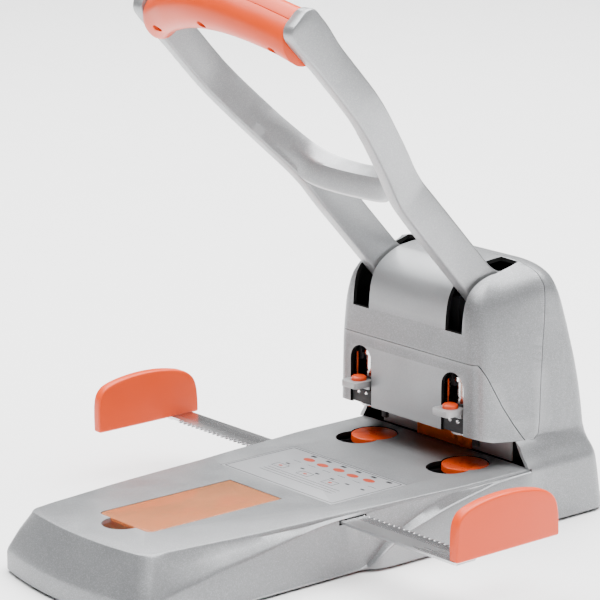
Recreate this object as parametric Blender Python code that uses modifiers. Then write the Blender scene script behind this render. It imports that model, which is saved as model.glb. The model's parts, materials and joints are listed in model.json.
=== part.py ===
"""Heavy-duty two-hole paper punch, built from separate solids.

The datum of every number below is the punching line: x across the machine, y towards its back
and z up from the deck that the paper lies on, in millimetres.  place() turns such a point into
the part's own frame, in metres, whose origin lies on the table under the middle of the object.
The lever has a second frame: s runs along its arms from the hood and n towards its front edge.
"""
import math

import bmesh
import bpy
from mathutils import Matrix, Vector

MM = 0.001
GAP = 0.3                     # clearance between pieces that touch

# Main dimensions
PUNCH_Y = 88.0                # punching line behind the origin
DECK_Z = 36.5                 # deck above the table
SHELL_DEEP = 35.0             # height of the base walls
NOSE_Y = -262.0               # foremost point
REAR_Y = 86.0                 # rearmost point
WALL = 2.5                    # moulded walls
HOLE_X = 40.0                 # half the hole spacing
BASE_HALF = 68.3              # side walls of the tongue
FOOT_HALF = 75.0              # side walls of the rear foot
BASE_END = 20.5               # where the base meets the rear housing
FRONT_Y = -11.0               # front face of the hood
HOOD_TOP = 117.8              # roof of the hood

# Punching head
STROKE = 18.9
PRESS_DEG = 36.0
PIVOT = (34.0, 98.0)          # y, z of the lever's axis
DRIVE = (3.6, 103.4)          # y, z of the shaft that drives the press bar
DRIVE_R = 2.6
ROLLER_R = 4.4
PIN_R = 5.3
PIN_TIP = 19.2
PIN_HEAD = (50.0, 53.2)
PIN_HEAD_R = 6.6
SLOT_HALF = 9.5               # cartridge slots in the lower cover
SLOT_TOP = 56.7
DISC_R = 14.0
DISC_T = 4.3

# Lever
LEVER_DEG = 47.2
LEVER_Y, LEVER_Z = 0.0, 98.8  # a point on the front edge of the arms
ARM_DEPTH = 22.0
GRIP_HALF = 65.0              # middle of each arm at the grip
ARM_END = 235.0
BOSS_R = 12.0

# Side stops
STOP_X = 155.3
STOP_T = 6.6
RACK_PITCH = 4.084
PINION_TEETH = 28
PINION_Y = -85.0
PINION_R = RACK_PITCH * PINION_TEETH / (2 * math.pi)
RULER_Z = (-4.6, -3.1)

# Compartment for spare discs
LID_HALF = 22.9
LID_Y = (-219.0, -125.9)
LABEL = (49.5, -111.4, -54.8)  # half width, front, back

SILVER = ((0.55, 0.56, 0.57), 0.45, 0.35)
ORANGE = ((0.86, 0.25, 0.09), 0.38, 0.0)
BLACK = ((0.02, 0.02, 0.022), 0.55, 0.0)
STEEL = ((0.60, 0.60, 0.60), 0.30, 1.0)
DARK_STEEL = ((0.12, 0.12, 0.125), 0.45, 0.9)
ALUMINIUM = ((0.70, 0.70, 0.70), 0.42, 0.9)
BRASS = ((0.70, 0.52, 0.24), 0.35, 1.0)
RUBBER = ((0.03, 0.03, 0.03), 0.85, 0.0)
PAPER = ((0.80, 0.81, 0.81), 0.60, 0.0)


# Scene helpers ---------------------------------------------------------------------------

def start():
    """Clear the scene and make the two collections."""
    for old in list(bpy.data.objects):
        bpy.data.objects.remove(old, do_unlink=True)
    made = []
    for name in ("paper_punch", "cutters"):
        group = bpy.data.collections.new(name)
        bpy.context.scene.collection.children.link(group)
        made.append(group)
    return made


PART, CUTTERS = start()


def place(x, y, z):
    return Vector((x, y + PUNCH_Y, z + DECK_Z)) * MM


def on_lever(x, s, n):
    """A point of the lever's own frame."""
    turn = math.radians(LEVER_DEG)
    y = LEVER_Y - s * math.cos(turn) - n * math.sin(turn)
    z = LEVER_Z + s * math.sin(turn) - n * math.cos(turn)
    return place(x, y, z)


def material(name, look):
    found = bpy.data.materials.get(name)
    if found:
        return found
    made = bpy.data.materials.new(name)
    made.use_nodes = True
    shader = made.node_tree.nodes["Principled BSDF"]
    colour, rough, metal = look
    shader.inputs["Base Color"].default_value = (*colour, 1.0)
    shader.inputs["Roughness"].default_value = rough
    shader.inputs["Metallic"].default_value = metal
    return made


def add(name, mesh, look):
    """Link a mesh as a named piece, or as a cutter where look is None."""
    thing = bpy.data.objects.new(name, mesh)
    if look is None:
        CUTTERS.objects.link(thing)
        thing.hide_render = True
        thing.display_type = "WIRE"
    else:
        PART.objects.link(thing)
        mesh.materials.append(material(name, look))
    return thing


def from_bmesh(name, build, look):
    mesh = bpy.data.meshes.new(name)
    bmesh.ops.recalc_face_normals(build, faces=build.faces)
    if build.calc_volume(signed=True) < 0:
        bmesh.ops.reverse_faces(build, faces=build.faces)
    build.to_mesh(mesh)
    build.free()
    return add(name, mesh, look)


def smooth(thing, degrees=35):
    thing.data.shade_smooth()
    thing.data.set_sharp_from_angle(angle=math.radians(degrees))
    return thing


def bevel(thing, width, segments=2, degrees=40):
    step = thing.modifiers.new("bevel", "BEVEL")
    step.width = width * MM
    step.segments = segments
    step.limit_method = "ANGLE"
    step.angle_limit = math.radians(degrees)
    return thing


def boolean(thing, other, operation):
    step = thing.modifiers.new(operation.lower(), "BOOLEAN")
    step.operation = operation
    step.solver = "EXACT"
    step.object = other
    return thing


def cut(thing, *others):
    for other in others:
        boolean(thing, other, "DIFFERENCE")
    return thing


def join(thing, *others):
    for other in others:
        boolean(thing, other, "UNION")
    return thing


# Shapes ----------------------------------------------------------------------------------

def box(name, low, high, look=None):
    build = bmesh.new()
    bmesh.ops.create_cube(build, size=1.0)
    a = place(*low)
    b = place(*high)
    for vert in build.verts:
        vert.co = Vector(a[i] + (vert.co[i] + 0.5) * (b[i] - a[i]) for i in range(3))
    return from_bmesh(name, build, look)


def cylinder(name, start_point, end_point, radius, look=None, sides=32):
    """A round bar between two points of the part's frame."""
    along = end_point - start_point
    build = bmesh.new()
    turn = along.to_track_quat("Z", "Y").to_matrix().to_4x4()
    bmesh.ops.create_cone(build, cap_ends=True, segments=sides, radius1=radius * MM,
                          radius2=radius * MM, depth=along.length,
                          matrix=Matrix.Translation((start_point + end_point) / 2) @ turn)
    return smooth(from_bmesh(name, build, look))


def post(name, x, y, low, high, radius, look=None, sides=32):
    return cylinder(name, place(x, y, low), place(x, y, high), radius, look, sides)


def axle(name, y, z, left, right, radius, look=None, sides=32):
    return cylinder(name, place(left, y, z), place(right, y, z), radius, look, sides)


def loft(name, rings, look=None):
    """A closed skin through rings of equal length."""
    build = bmesh.new()
    rows = [[build.verts.new(point) for point in ring] for ring in rings]
    count = len(rows[0])
    for low, high in zip(rows, rows[1:]):
        for i in range(count):
            j = (i + 1) % count
            build.faces.new((low[i], low[j], high[j], high[i]))
    build.faces.new(list(reversed(rows[0])))
    build.faces.new(rows[-1])
    return smooth(from_bmesh(name, build, look))


def plate(name, outline, low, high, look=None, axis="Z"):
    """A flat outline given thickness from low to high along an axis, as a mesh.

    The outline holds (x, y) points for axis Z and (y, z) points for axis X.
    """
    curve = bpy.data.curves.new(name, "CURVE")
    curve.dimensions = "2D"
    curve.fill_mode = "BOTH"
    curve.extrude = (high - low) / 2 * MM
    line = curve.splines.new("POLY")
    line.points.add(len(outline) - 1)
    for point, (u, v) in zip(line.points, outline):
        point.co = (u * MM, v * MM, 0.0, 1.0)
    line.use_cyclic_u = True
    shape = bpy.data.objects.new(name + "_outline", curve)
    CUTTERS.objects.link(shape)
    middle = (low + high) / 2
    if axis == "X":
        turn = Matrix(((0, 0, 1), (1, 0, 0), (0, 1, 0))).to_4x4()
        shape.matrix_world = Matrix.Translation(place(middle, 0, 0)) @ turn
    else:
        shape.matrix_world = Matrix.Translation(place(0, 0, middle))
    graph = bpy.context.evaluated_depsgraph_get()
    mesh = bpy.data.meshes.new_from_object(shape.evaluated_get(graph))
    world = shape.matrix_world.copy()
    bpy.data.objects.remove(shape, do_unlink=True)
    build = bmesh.new()
    build.from_mesh(mesh)
    bmesh.ops.remove_doubles(build, verts=build.verts, dist=0.00001)
    build.transform(world)
    bpy.data.meshes.remove(mesh)
    return smooth(from_bmesh(name, build, look))


def turned(name, profile, x, y, look, sides=32):
    """A shape turned about a vertical line; profile holds (radius, z), down its outer side."""
    mesh = bpy.data.meshes.new(name)
    points = [(radius * MM, 0, (z + DECK_Z) * MM) for radius, z in profile]
    edges = [(i, i + 1) for i in range(len(points) - 1)]
    if profile[0][0] > 0:
        edges.append((len(points) - 1, 0))
    mesh.from_pydata(points, edges, [])
    thing = add(name, mesh, look)
    thing.location = place(x, y, -DECK_Z)
    step = thing.modifiers.new("turn", "SCREW")
    step.steps = sides
    step.render_steps = sides
    step.use_merge_vertices = True
    step.merge_threshold = 0.00001
    step.use_smooth_shade = True
    return thing


def arc(cx, cy, radius, first, last, steps):
    """Points of an arc in degrees, both ends included."""
    turns = [math.radians(first + (last - first) * i / steps) for i in range(steps + 1)]
    return [(cx + radius * math.cos(t), cy + radius * math.sin(t)) for t in turns]


def lid_outline(spare):
    """The lid's rectangle, grown by spare: round corners in front and square ones behind."""
    half = LID_HALF + spare
    front = LID_Y[0] - spare
    back = LID_Y[1] + spare
    radius = 3.6 + spare
    outline = [(half, back), (-half, back)]
    outline += arc(-half + radius, front + radius, radius, 180, 270, 4)
    outline += arc(half - radius, front + radius, radius, 270, 360, 4)
    return outline


def hinge_point(name, spot, *things):
    """An empty on a joint's axis that carries its pieces."""
    empty = bpy.data.objects.new(name, None)
    empty.location = spot
    empty.empty_display_size = 0.02
    PART.objects.link(empty)
    bpy.context.view_layer.update()
    for thing in things:
        thing.parent = empty
        thing.matrix_parent_inverse = empty.matrix_world.inverted()
    return empty


def between(table, key):
    """Read a short list of (key, value) pairs, straight between its entries."""
    if key <= table[0][0]:
        return table[0][1]
    for (a, low), (b, high) in zip(table, table[1:]):
        if key <= b:
            return low + (high - low) * (key - a) / (b - a)
    return table[-1][1]


def both_sides(build):
    """Call build(side name, sign) for the left and the right."""
    return [build(name, sign) for name, sign in (("left", -1), ("right", 1))]


# Base ------------------------------------------------------------------------------------

DECK_EDGE = [(-238.0, 53.3), (-211.0, 57.5), (-179.0, 61.0), (-150.0, 63.6), (-115.0, 65.3),
             (-80.0, 66.4), (20.5, 67.0)]
CREASE_Z = [(-240.0, -18.5), (-220.0, -16.6), (-171.0, -8.7), (-122.0, -2.6), (20.5, -1.4)]
RIDGE_Z = [(-103.0, -34.0), (-93.0, -26.0), (-75.0, -17.4), (-60.0, -13.0), (-44.5, -9.1),
           (-21.0, -5.0), (18.6, 0.0)]
GROOVE_Z = [(-104.0, -33.0), (-95.0, -25.4), (-76.0, -15.6), (-61.0, -9.7), (-50.0, -5.6),
            (-34.0, -2.2), (20.5, -1.5)]
FENDER = [(-104.0, 0.0), (-99.0, 4.6), (-93.0, 6.2), (-80.0, 6.7)]
SIDE_STATIONS = (20.5, 0, -20, -34, -45, -60, -75, -86, -93, -99, -104, -122, -145, -171, -195, -220)
NOSE = ((68.3, -240.0, 53.3, -238.0), (66.6, -246.5, 52.6, -241.2), (61.5, -251.4, 49.5, -243.6),
        (50.0, -255.6, 42.0, -246.2), (34.0, -259.2, 29.0, -250.0), (17.0, -261.4, 14.5, -253.6),
        (0.0, NOSE_Y, 0.0, -255.0))


def half_ring(level):
    """The right half of one ring of the base, from its back to the nose."""
    points = []
    for y in SIDE_STATIONS:
        out = between(FENDER, y)
        if level == "bottom":
            points.append((BASE_HALF + out, y, -SHELL_DEEP))
        elif level == "ridge":
            points.append((BASE_HALF + out, y, between(RIDGE_Z, y)))
        elif level == "groove":
            points.append((BASE_HALF - 0.3 + out * 0.05, y, between(GROOVE_Z, y)))
        elif level == "crease":
            points.append((BASE_HALF - 0.4, y, between(CREASE_Z, y)))
        else:
            points.append((between(DECK_EDGE, y), y, 0.0))
    nose_z = {"bottom": -SHELL_DEEP, "ridge": -34.0, "groove": -33.0, "crease": -17.5, "deck": 0.0}
    for x, y, deck_x, deck_y in NOSE:
        if level == "deck":
            points.append((deck_x, deck_y, 0.0))
        else:
            points.append((x, y, nose_z[level]))
    return points


def full_ring(level, inset=0.0, z=None, back=None, top=0.0):
    """A closed ring of the base, drawn in towards the middle by inset and kept below top."""
    right = half_ring(level)
    moved = []
    for i, (x, y, height) in enumerate(right):
        before = right[max(i - 1, 0)]
        after = right[min(i + 1, len(right) - 1)]
        along = Vector((after[0] - before[0], after[1] - before[1])).normalized()
        inward = Vector((along.y, -along.x)) * inset
        if i == len(right) - 1:
            inward = Vector((0.0, inset))
        new_y = y + inward.y
        if i == 0:
            new_y = back if back is not None else y
        moved.append((max(x + inward.x, 0.0), new_y, min(height, top) if z is None else z))
    left = [(-x, y, height) for x, y, height in reversed(moved[:-1])]
    return [place(*point) for point in moved + left]


def base_shell():
    shell = loft("base_shell", [full_ring(level) for level in
                                ("bottom", "ridge", "groove", "crease", "deck")], SILVER)
    hollow = loft("base_hollow", [full_ring("bottom", WALL, -SHELL_DEEP - 1, BASE_END + 1),
                                  full_ring("ridge", WALL, None, BASE_END + 1, -WALL - 2.4),
                                  full_ring("groove", WALL, None, BASE_END + 1, -WALL - 1.6),
                                  full_ring("crease", WALL + 0.6, None, BASE_END + 1, -WALL - 0.8),
                                  full_ring("deck", WALL + 1.5, -WALL, BASE_END + 1)])
    lid_hole = plate("lid_hole", lid_outline(2 * GAP), -5, 1)
    lid_notch = post("lid_notch", 0, LID_Y[0] - 1, -5, 1, 11.5)
    pin_notch = box("pin_notch", (-LID_HALF - 2.2, LID_Y[1] - 2.5, -4),
                    (LID_HALF + 2.2, LID_Y[1] - 0.05, 1))
    half, front, back = LABEL
    label_seat = box("label_seat", (-half - GAP, front - GAP, -0.8), (half + GAP, back + GAP, 1))
    cut(shell, lid_hole, lid_notch, pin_notch, label_seat)

    def disc_seat(side, sign):
        cut(shell, post("disc_hole_" + side, sign * HOLE_X, 0, -6, 1, DISC_R + GAP, sides=48),
            post("disc_notch_" + side, sign * HOLE_X, -14.5, -6, 1, 12.0))

    both_sides(disc_seat)
    cut(shell, box("slot_right", (55, -121.6, -5.6), (80, -101.7, -2.6)),
        box("slot_left", (-80, -68.3, -5.6), (-55, -48.6, -2.6)), hollow)
    return shell


def bottom_cover():
    half = [(65.0, -238.0), (60.0, -246.5), (48.0, -251.8), (30.0, -255.5), (0.0, -258.3)]
    right = [(62.0, 82.4), (71.5, 74.0), (71.5, -88.0), (64.6, -104.0)] + half
    left = [(-x, y) for x, y in reversed(right[:-1])]
    return plate("bottom_cover", right + left, -34.7, -32.7, BLACK)


def feet():
    for i, (x, y) in enumerate(((-52, -228), (52, -228), (-58, 66), (58, 66))):
        names = ("front_left", "front_right", "back_left", "back_right")
        foot = post("foot_" + names[i], x, y, -DECK_Z, -35.0, 8.0, RUBBER, 24)
        bevel(foot, 0.4, 1)


def deck_fittings():
    half, front, back = LABEL
    box("label_plate", (-half, front, -0.5), (half, back, 0.0), PAPER)
    block = box("die_block", (-58, -29, -29.4), (58, 19, -DISC_T - GAP), DARK_STEEL)
    cut(block, box("block_hollow", (-50, -22, -30), (50, 12, -12)))
    both_sides(lambda side, sign: cut(
        block, post("block_notch_" + side, sign * HOLE_X, -14.5, -9, 0, 12.0)))
    box("base_frame", (-60, -30, -32.3), (60, 78, -29.7), DARK_STEEL)

    def disc(side, sign):
        profile = [(0, 0), (DISC_R - 0.6, 0), (DISC_R, -0.6), (DISC_R, -DISC_T), (0, -DISC_T)]
        made = turned("cutting_disc_" + side, profile, sign * HOLE_X, 0, ORANGE, 48)
        hinge_point("disc_axis_" + side, place(sign * HOLE_X, 0, 0), made)

    both_sides(disc)


def compartment():
    front, back = LID_Y
    tray = box("spare_disc_tray", (-25.4, front - 13, -17), (25.4, back + 1.3, -WALL - GAP), BLACK)
    cut(tray, box("tray_well", (-LID_HALF + 0.4, front - 11.6, -15), (LID_HALF - 0.4, back - 0.5, 0)))
    for i in range(3):
        y = front + 16 + 31 * i
        post("spare_disc_%d" % (i + 1), 0, y, -14.7, -10.7, DISC_R, ORANGE, 36)
    lid = plate("compartment_lid", lid_outline(0.0), -2.0, 0.0, ORANGE)
    hinge_y = back - 1.0
    join(lid, axle("lid_pins", hinge_y, -1.0, -LID_HALF - 1.8, LID_HALF + 1.8, 0.8, sides=12))
    hinge_point("lid_axis", place(0, hinge_y, -1.0), lid)


# Side stops ------------------------------------------------------------------------------

def rack_edge(first, last, root, tip):
    """Teeth along x between two places, as (x, y) points."""
    points = []
    count = int((last - first) / RACK_PITCH)
    for i in range(count):
        middle = (math.ceil(first / RACK_PITCH) + i + 0.5) * RACK_PITCH
        points += [(middle - 1.2, root), (middle - 0.45, tip), (middle + 0.45, tip),
                   (middle + 1.2, root)]
    return points


def side_stops():
    outer = STOP_X + STOP_T - 2.0
    inner = 3.6
    root = PINION_R + 1.2
    tip = PINION_R - 0.9

    teeth = [(x, PINION_Y + y) for x, y in rack_edge(-148, inner - 1, root, tip)]
    left_rack = [(-outer, PINION_Y + root)] + teeth + [(inner, PINION_Y + root), (inner, -49.2),
                                                       (-outer, -49.2)]
    left = plate("ruler_left", left_rack, *RULER_Z, STEEL)
    right_rack = [(-x, 2 * PINION_Y - y) for x, y in left_rack]
    right = plate("ruler_right", right_rack, *RULER_Z, STEEL)

    outline = [(-120.5, -2.8), (-120.5, 17.0), (-118.5, 22.2), (-114.0, 25.2), (-104.0, 27.3),
               (-90.0, 28.6), (-76.0, 28.2), (-61.0, 25.6), (-52.5, 21.6), (-48.0, 15.6),
               (-46.4, 8.0), (-46.0, -2.8)]
    stops = {}
    for name, sign in (("left", -1), ("right", 1)):
        low, high = sorted((sign * STOP_X, sign * (STOP_X + STOP_T)))
        stops[name] = bevel(plate("side_stop_" + name, outline, low, high, ORANGE, "X"), 1.2, 2)
    hinge_point("stop_axis_left", place(-STOP_X, PINION_Y, RULER_Z[0]), left, stops["left"])
    hinge_point("stop_axis_right", place(STOP_X, PINION_Y, RULER_Z[0]), right, stops["right"])

    wheel = []
    for i in range(PINION_TEETH):
        middle = 90.0 + 360.0 * i / PINION_TEETH
        for turn, radius in ((-3.7, -1.25), (-1.5, 0.9), (1.5, 0.9), (3.7, -1.25)):
            angle = math.radians(middle + turn)
            reach = PINION_R + radius
            wheel.append((reach * math.cos(angle), PINION_Y + reach * math.sin(angle)))
    pinion = plate("stop_pinion", wheel, -4.9, RULER_Z[1], BLACK)
    cut(pinion, post("pinion_bore", 0, PINION_Y, -6, 0, 4.5))
    hinge_point("pinion_axis", place(0, PINION_Y, -4), pinion)

    bed = box("ruler_bed", (-64.2, -122.8, -7.3), (64.2, -46.5, -5.2), DARK_STEEL)
    cut(bed, post("bed_hole", 0, PINION_Y, -9, -3, 4.5))
    turned("pinion_pin", [(0, -3.2), (4.2, -3.2), (4.2, -7.6), (7.0, -7.6), (7.0, -9.6), (0, -9.6)],
           0, PINION_Y, STEEL, 24)


# Hood and rear housing -------------------------------------------------------------------

FRONT_LINE = [(81.0, -11.0), (93.5, -10.0), (99.0, -8.7), (102.5, -7.0), (105.0, -5.4),
              (108.3, -2.0), (111.0, 2.0), (113.0, 6.0), (114.6, 10.0), (115.7, 14.0),
              (116.5, 18.5), (117.2, 24.0), (117.8, 31.0)]
BACK_LINE = [(-35.0, 86.0), (-12.0, 82.2), (0.0, 79.6), (13.0, 77.4), (29.0, 75.5), (53.0, 69.7),
             (75.0, 63.2), (90.0, 58.6), (102.0, 54.2), (108.3, 51.8), (113.0, 48.6),
             (115.7, 45.6), (117.2, 41.5), (117.8, 37.0)]
SIDE_LINE = [(-35.0, 75.0), (0.0, 75.0), (6.0, 71.2), (13.0, 67.6), (20.0, 66.4), (99.0, 65.6),
             (105.0, 64.6), (108.3, 63.0), (111.0, 60.6), (113.0, 57.8), (114.6, 55.0),
             (115.7, 52.4), (116.5, 50.0), (117.2, 46.5), (117.8, 41.0)]
LEVELS = (-35, -12, 0, 6, 13, 20, 29, 53, 75, 90, 99, 105, 108.3, 111, 113, 114.6, 115.7, 116.5,
          117.2, 117.8)


def hood_ring(level, inset=0.0, z=None):
    """One level of the hood: narrower in front than behind, with round corners."""
    front = between(FRONT_LINE, level) + inset
    back = between(BACK_LINE, level) - inset
    wide = between(SIDE_LINE, level) - inset
    narrow = wide - (4.0 if level > 14 else 0.0)
    big = min(11.0, 0.45 * (back - front))
    small = min(9.0, 0.45 * (back - front))
    points = arc(wide - big, back - big, big, 0, 90, 4)
    points += [(-x, y) for x, y in reversed(points)]
    nose = arc(narrow - small, front + small, small, 0, -90, 4)
    points += [(-x, y) for x, y in nose]
    points += list(reversed(nose))
    return [place(x, y, level if z is None else z) for x, y in points]


def hood_solid(name, region, look):
    """The part of the hood's skin inside a side-view region of (y, z) points."""
    skin = loft(name, [hood_ring(level) for level in LEVELS], look)
    rings = [hood_ring(-35, WALL, -37)]
    for level in LEVELS[1:]:
        if level <= 99:
            rings.append(hood_ring(level, WALL))
        else:
            rings.append(hood_ring(level, 1.4, level - WALL + 0.1))
    cut(skin, loft(name + "_inside", rings))
    boolean(skin, plate(name + "_region", region, -90, 90, None, "X"), "INTERSECT")
    return skin


def hood():
    g = GAP / 2
    seam = [(-8.3, 64.0 + g), (-1.0, 51.5 + g), (7.3, 37.4 + g), (15.6, 25.6 + g), (24.4, 14.4 + g)]
    upper_region = ([(-20, 64.0 + g)] + seam + [(31.0, 14.4), (34.2, 17.0), (35.6, 25.0),
                                                (37.2, 70.0), (38.6, 105.0), (36.6, 112.0),
                                                (34.6, 130.0), (-20, 130.0)])
    upper = hood_solid("upper_cover", upper_region, SILVER)
    lower_seam = [(y - GAP * 0.8, z - GAP) for y, z in reversed(seam)]
    lower_region = [(-20, 20.4), (-10.9, 20.4), (0.0, 17.4), (23.4, 14.4)] + lower_seam
    lower = hood_solid("lower_cover", lower_region + [(-20, 64.0 - g)], SILVER)
    rear_region = [(17.6, 14.0), (18.6, 0.3), (20.8, 0.3), (20.8, -40.0), (95, -40.0),
                   (95, 130), (35.0, 130), (37.0, 112.0), (39.0, 105.0), (37.6, 70.0),
                   (36.0, 25.0), (34.6, 16.7), (31.2, 14.0)]
    hood_solid("rear_housing", rear_region, SILVER)
    for name, sign in (("left", -1), ("right", 1)):
        low, high = sorted((sign * 33.0, sign * 47.4))
        cut(upper, box("arm_slot_" + name, (low, -20, 80.5), (high, 33.0, 130)))
        arch = [(sign * HOLE_X - SLOT_HALF, 10.0)]
        arch += [(x, z) for x, z in arc(sign * HOLE_X, SLOT_TOP - SLOT_HALF, SLOT_HALF, 180, 0, 12)]
        arch.append((sign * HOLE_X + SLOT_HALF, 10.0))
        opening = loft("cartridge_slot_" + name,
                       [[place(x, y, z) for x, z in arch] for y in (-20.0, -5.0)])
        cut(lower, opening)


# Punching head ---------------------------------------------------------------------------

def frame_side(side, sign):
    outline = [(24.0, -29.4), (62.0, -29.4), (62.0, 10.0), (54.0, 62.0), (46.0, 100.0),
               (41.0, 109.5), (26.0, 109.5), (18.0, 96.0), (-5.0, 46.0), (-5.0, 21.0), (24.0, 21.0)]
    low, high = sorted((sign * 53.0, sign * 56.0))
    made = plate("frame_side_" + side, outline, low, high, DARK_STEEL, "X")
    cut(made, axle("bush_hole_" + side, *PIVOT, sign * 50, sign * 60, 7.3))
    bush = axle("pivot_bush_" + side, *PIVOT, sign * 51.5, sign * 56.5, 7.0, BRASS)
    cut(bush, axle("bush_bore_" + side, *PIVOT, sign * 50, sign * 60, 5.1))
    clip = axle("shaft_clip_" + side, *PIVOT, sign * 57.0, sign * 58.0, 6.6, STEEL, 24)
    cut(clip, axle("clip_bore_" + side, *PIVOT, sign * 56, sign * 59, 4.3, None, 24),
        box("clip_mouth_" + side, (sign * 58 - 3, PIVOT[0] - 2, PIVOT[1] - 9),
            (sign * 58 + 3, PIVOT[0] + 2, PIVOT[1])))


def head_frame():
    both_sides(frame_side)
    shaft = axle("pivot_shaft", *PIVOT, -59.0, 59.0, 5.0, STEEL)
    for name, sign in (("left", -1), ("right", 1)):
        ring = axle("shaft_groove_" + name, *PIVOT, sign * 56.7, sign * 58.3, 6.0)
        cut(ring, axle("groove_core_" + name, *PIVOT, sign * 55, sign * 60, 4.0))
        cut(shaft, ring)
    head = box("crosshead", (-52.5, -6.5, 21.0), (52.5, 20.2, 32.0), DARK_STEEL)
    both_sides(lambda side, sign: cut(
        head, box("cartridge_bay_" + side, (sign * HOLE_X - 9.5, -8, 20), (sign * HOLE_X + 9.5, 14.2, 33))))
    for name, sign in (("left", -1), ("right", 1)):
        cut(head, post("column_hole_" + name, sign * 14, 4, 23, 34, 5.3))
        post("guide_column_" + name, sign * 14, 4, 23.3, 80.5, 5.0, STEEL)
    plate_back = box("back_plate", (-56, 21.8, 0.3), (56, 23.3, 20.6), ALUMINIUM)
    gauge = box("depth_gauge", (-23.5, 19.8, 0.3), (23.5, 21.4, 20.4), ORANGE)
    for name, sign in (("left", -1), ("right", 1)):
        x = sign * 15
        cut(plate_back, cylinder("rod_hole_" + name, place(x, 20, 12), place(x, 25, 12), 1.9,
                                 None, 16))
        join(gauge, cylinder("gauge_rod_" + name, place(x, 20.6, 12), place(x, 36, 12), 1.5,
                             None, 12))
    hinge_point("gauge_axis", place(0, 20.6, 12), gauge)


def return_spring(side, sign):
    turns, start, end = 5, 33.0, 59.0
    coil = bpy.data.curves.new("return_spring_" + side, "CURVE")
    coil.dimensions = "3D"
    coil.bevel_depth = 0.6 * MM
    coil.bevel_resolution = 2
    coil.use_fill_caps = True
    line = coil.splines.new("POLY")
    steps = turns * 10
    line.points.add(steps)
    for i in range(steps + 1):
        angle = 2 * math.pi * i / 10
        spot = place(sign * 14 + 6.6 * math.cos(angle), 4 + 6.6 * math.sin(angle),
                     start + (end - start) * i / steps)
        line.points[i].co = (*spot, 1.0)
    coil.materials.append(material("return_spring_" + side, STEEL))
    PART.objects.link(bpy.data.objects.new("return_spring_" + side, coil))


def press_bar():
    both_sides(return_spring)
    bar = box("press_bar", (-50, -5, 60), (50, 13, 72), DARK_STEEL)
    for name, sign in (("left", -1), ("right", 1)):
        x = sign * HOLE_X
        join(bar, box("fork_block_" + name, (x - 9.2, -4, 46), (x + 9.2, 9, 61)),
             box("roller_pad_" + name, (sign * 28 - 5.6, -0.5, 71),
                 (sign * 28 + 5.6, 9, DRIVE[1] - ROLLER_R - 0.4)))
        cut(bar, box("fork_gap_" + name, (x - 5.65, -6, 45), (x + 5.65, 6, 52)),
            box("head_gap_" + name, (x - 7.0, -6, 49.7), (x + 7.0, 7.3, 53.6)),
            post("column_bore_" + name, sign * 14, 4, 58, 74, 5.3))
    hinge_point("press_axis", place(0, 4, 60), bar)


def cartridge(side, sign):
    """One exchangeable punch: holder, steel guide, hollow pin, latch tab and release button."""
    x = sign * HOLE_X
    body = box("cartridge_body_" + side, (x - 9.0, -9.6, 20.8), (x + 9.0, 13.8, 26.4), BLACK)
    join(body, box("body_front_" + side, (x - 9.0, -9.6, 26), (x + 9.0, -6.9, 29.3)),
         box("paper_stop_" + side, (x - 6, 11.2, 7.0), (x - 2, 13.6, 21)))
    cut(body, post("guide_hole_" + side, x, 0, 18, 28, 7.6))
    guide = turned("punch_guide_" + side, [(7.3, 26.2), (7.3, 20.4), (8.6, 20.4), (8.6, 18.9),
                                           (5.6, 18.9), (5.6, 26.2)], x, 0, STEEL)
    pin = turned("punch_pin_" + side, [(PIN_HEAD_R, PIN_HEAD[1]), (PIN_HEAD_R, PIN_HEAD[0]),
                                       (PIN_R, PIN_HEAD[0]), (PIN_R, 41.0), (4.8, 40.7),
                                       (4.8, 40.1), (PIN_R, 39.8), (PIN_R, 22.0),
                                       (3.9, PIN_TIP), (3.4, PIN_TIP), (3.4, 30.0),
                                       (4.0, 31.0), (4.0, PIN_HEAD[1])], x, 0, STEEL)
    pin_axis = hinge_point("pin_axis_" + side, place(x, 0, PIN_TIP), pin)
    outline = [(x - 7.2, -7.2), (x - 7.2, -18.4), (x - 4.2, -22.4), (x + 4.2, -22.4),
               (x + 7.2, -18.4), (x + 7.2, -7.2)]
    tab = plate("latch_tab_" + side, outline, 32.0, 36.0, ALUMINIUM)
    join(tab, box("tab_leg_" + side, (x - 6, -9.5, 29.6), (x + 6, -7.4, 33)))
    cut(tab, post("button_hole_" + side, x, -12.6, 33.8, 38, 4.9, None, 24))
    button = turned("release_button_" + side, [(0, 38.4), (3.9, 38.4), (4.6, 37.7), (4.6, 35.7),
                                               (0, 35.7)], x, -12.6, ORANGE, 24)
    button_axis = hinge_point("button_axis_" + side, place(x, -12.6, 36), button)
    hinge_point("cartridge_axis_" + side, place(x, 0, 24), body, guide, tab, pin_axis, button_axis)


# Lever -----------------------------------------------------------------------------------

SPREAD = [(80.0, 40.0), (89.0, 41.2), (97.0, 43.2), (104.7, 45.8), (119.4, 51.7), (134.4, 57.0),
          (148.9, 61.4), (160.0, 64.0), (170.0, 65.0)]
BOSS = (-23.7, -24.4)         # the pivot in the lever's frame
STATIONS = (-35.6, -34, -30, -24, -18, -12, -6, 2, 30, 60, 80, 89, 97, 104.7, 119.4, 134.4, 148.9,
            160, 170, 200, 221, 228.6, 232.1, 234.2, 235)


def arm_front(s):
    if s < -30:
        return BOSS[1] + math.sqrt(BOSS_R ** 2 - (s - BOSS[0]) ** 2)
    return between([(-30.0, -14.2), (-6.0, 0.0), (60.0, 0.0), (105.0, -1.5), (221.0, -0.8),
                    (228.6, -0.6), (232.1, -1.8), (234.2, -4.8), (235.0, -8.5)], s)


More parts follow.
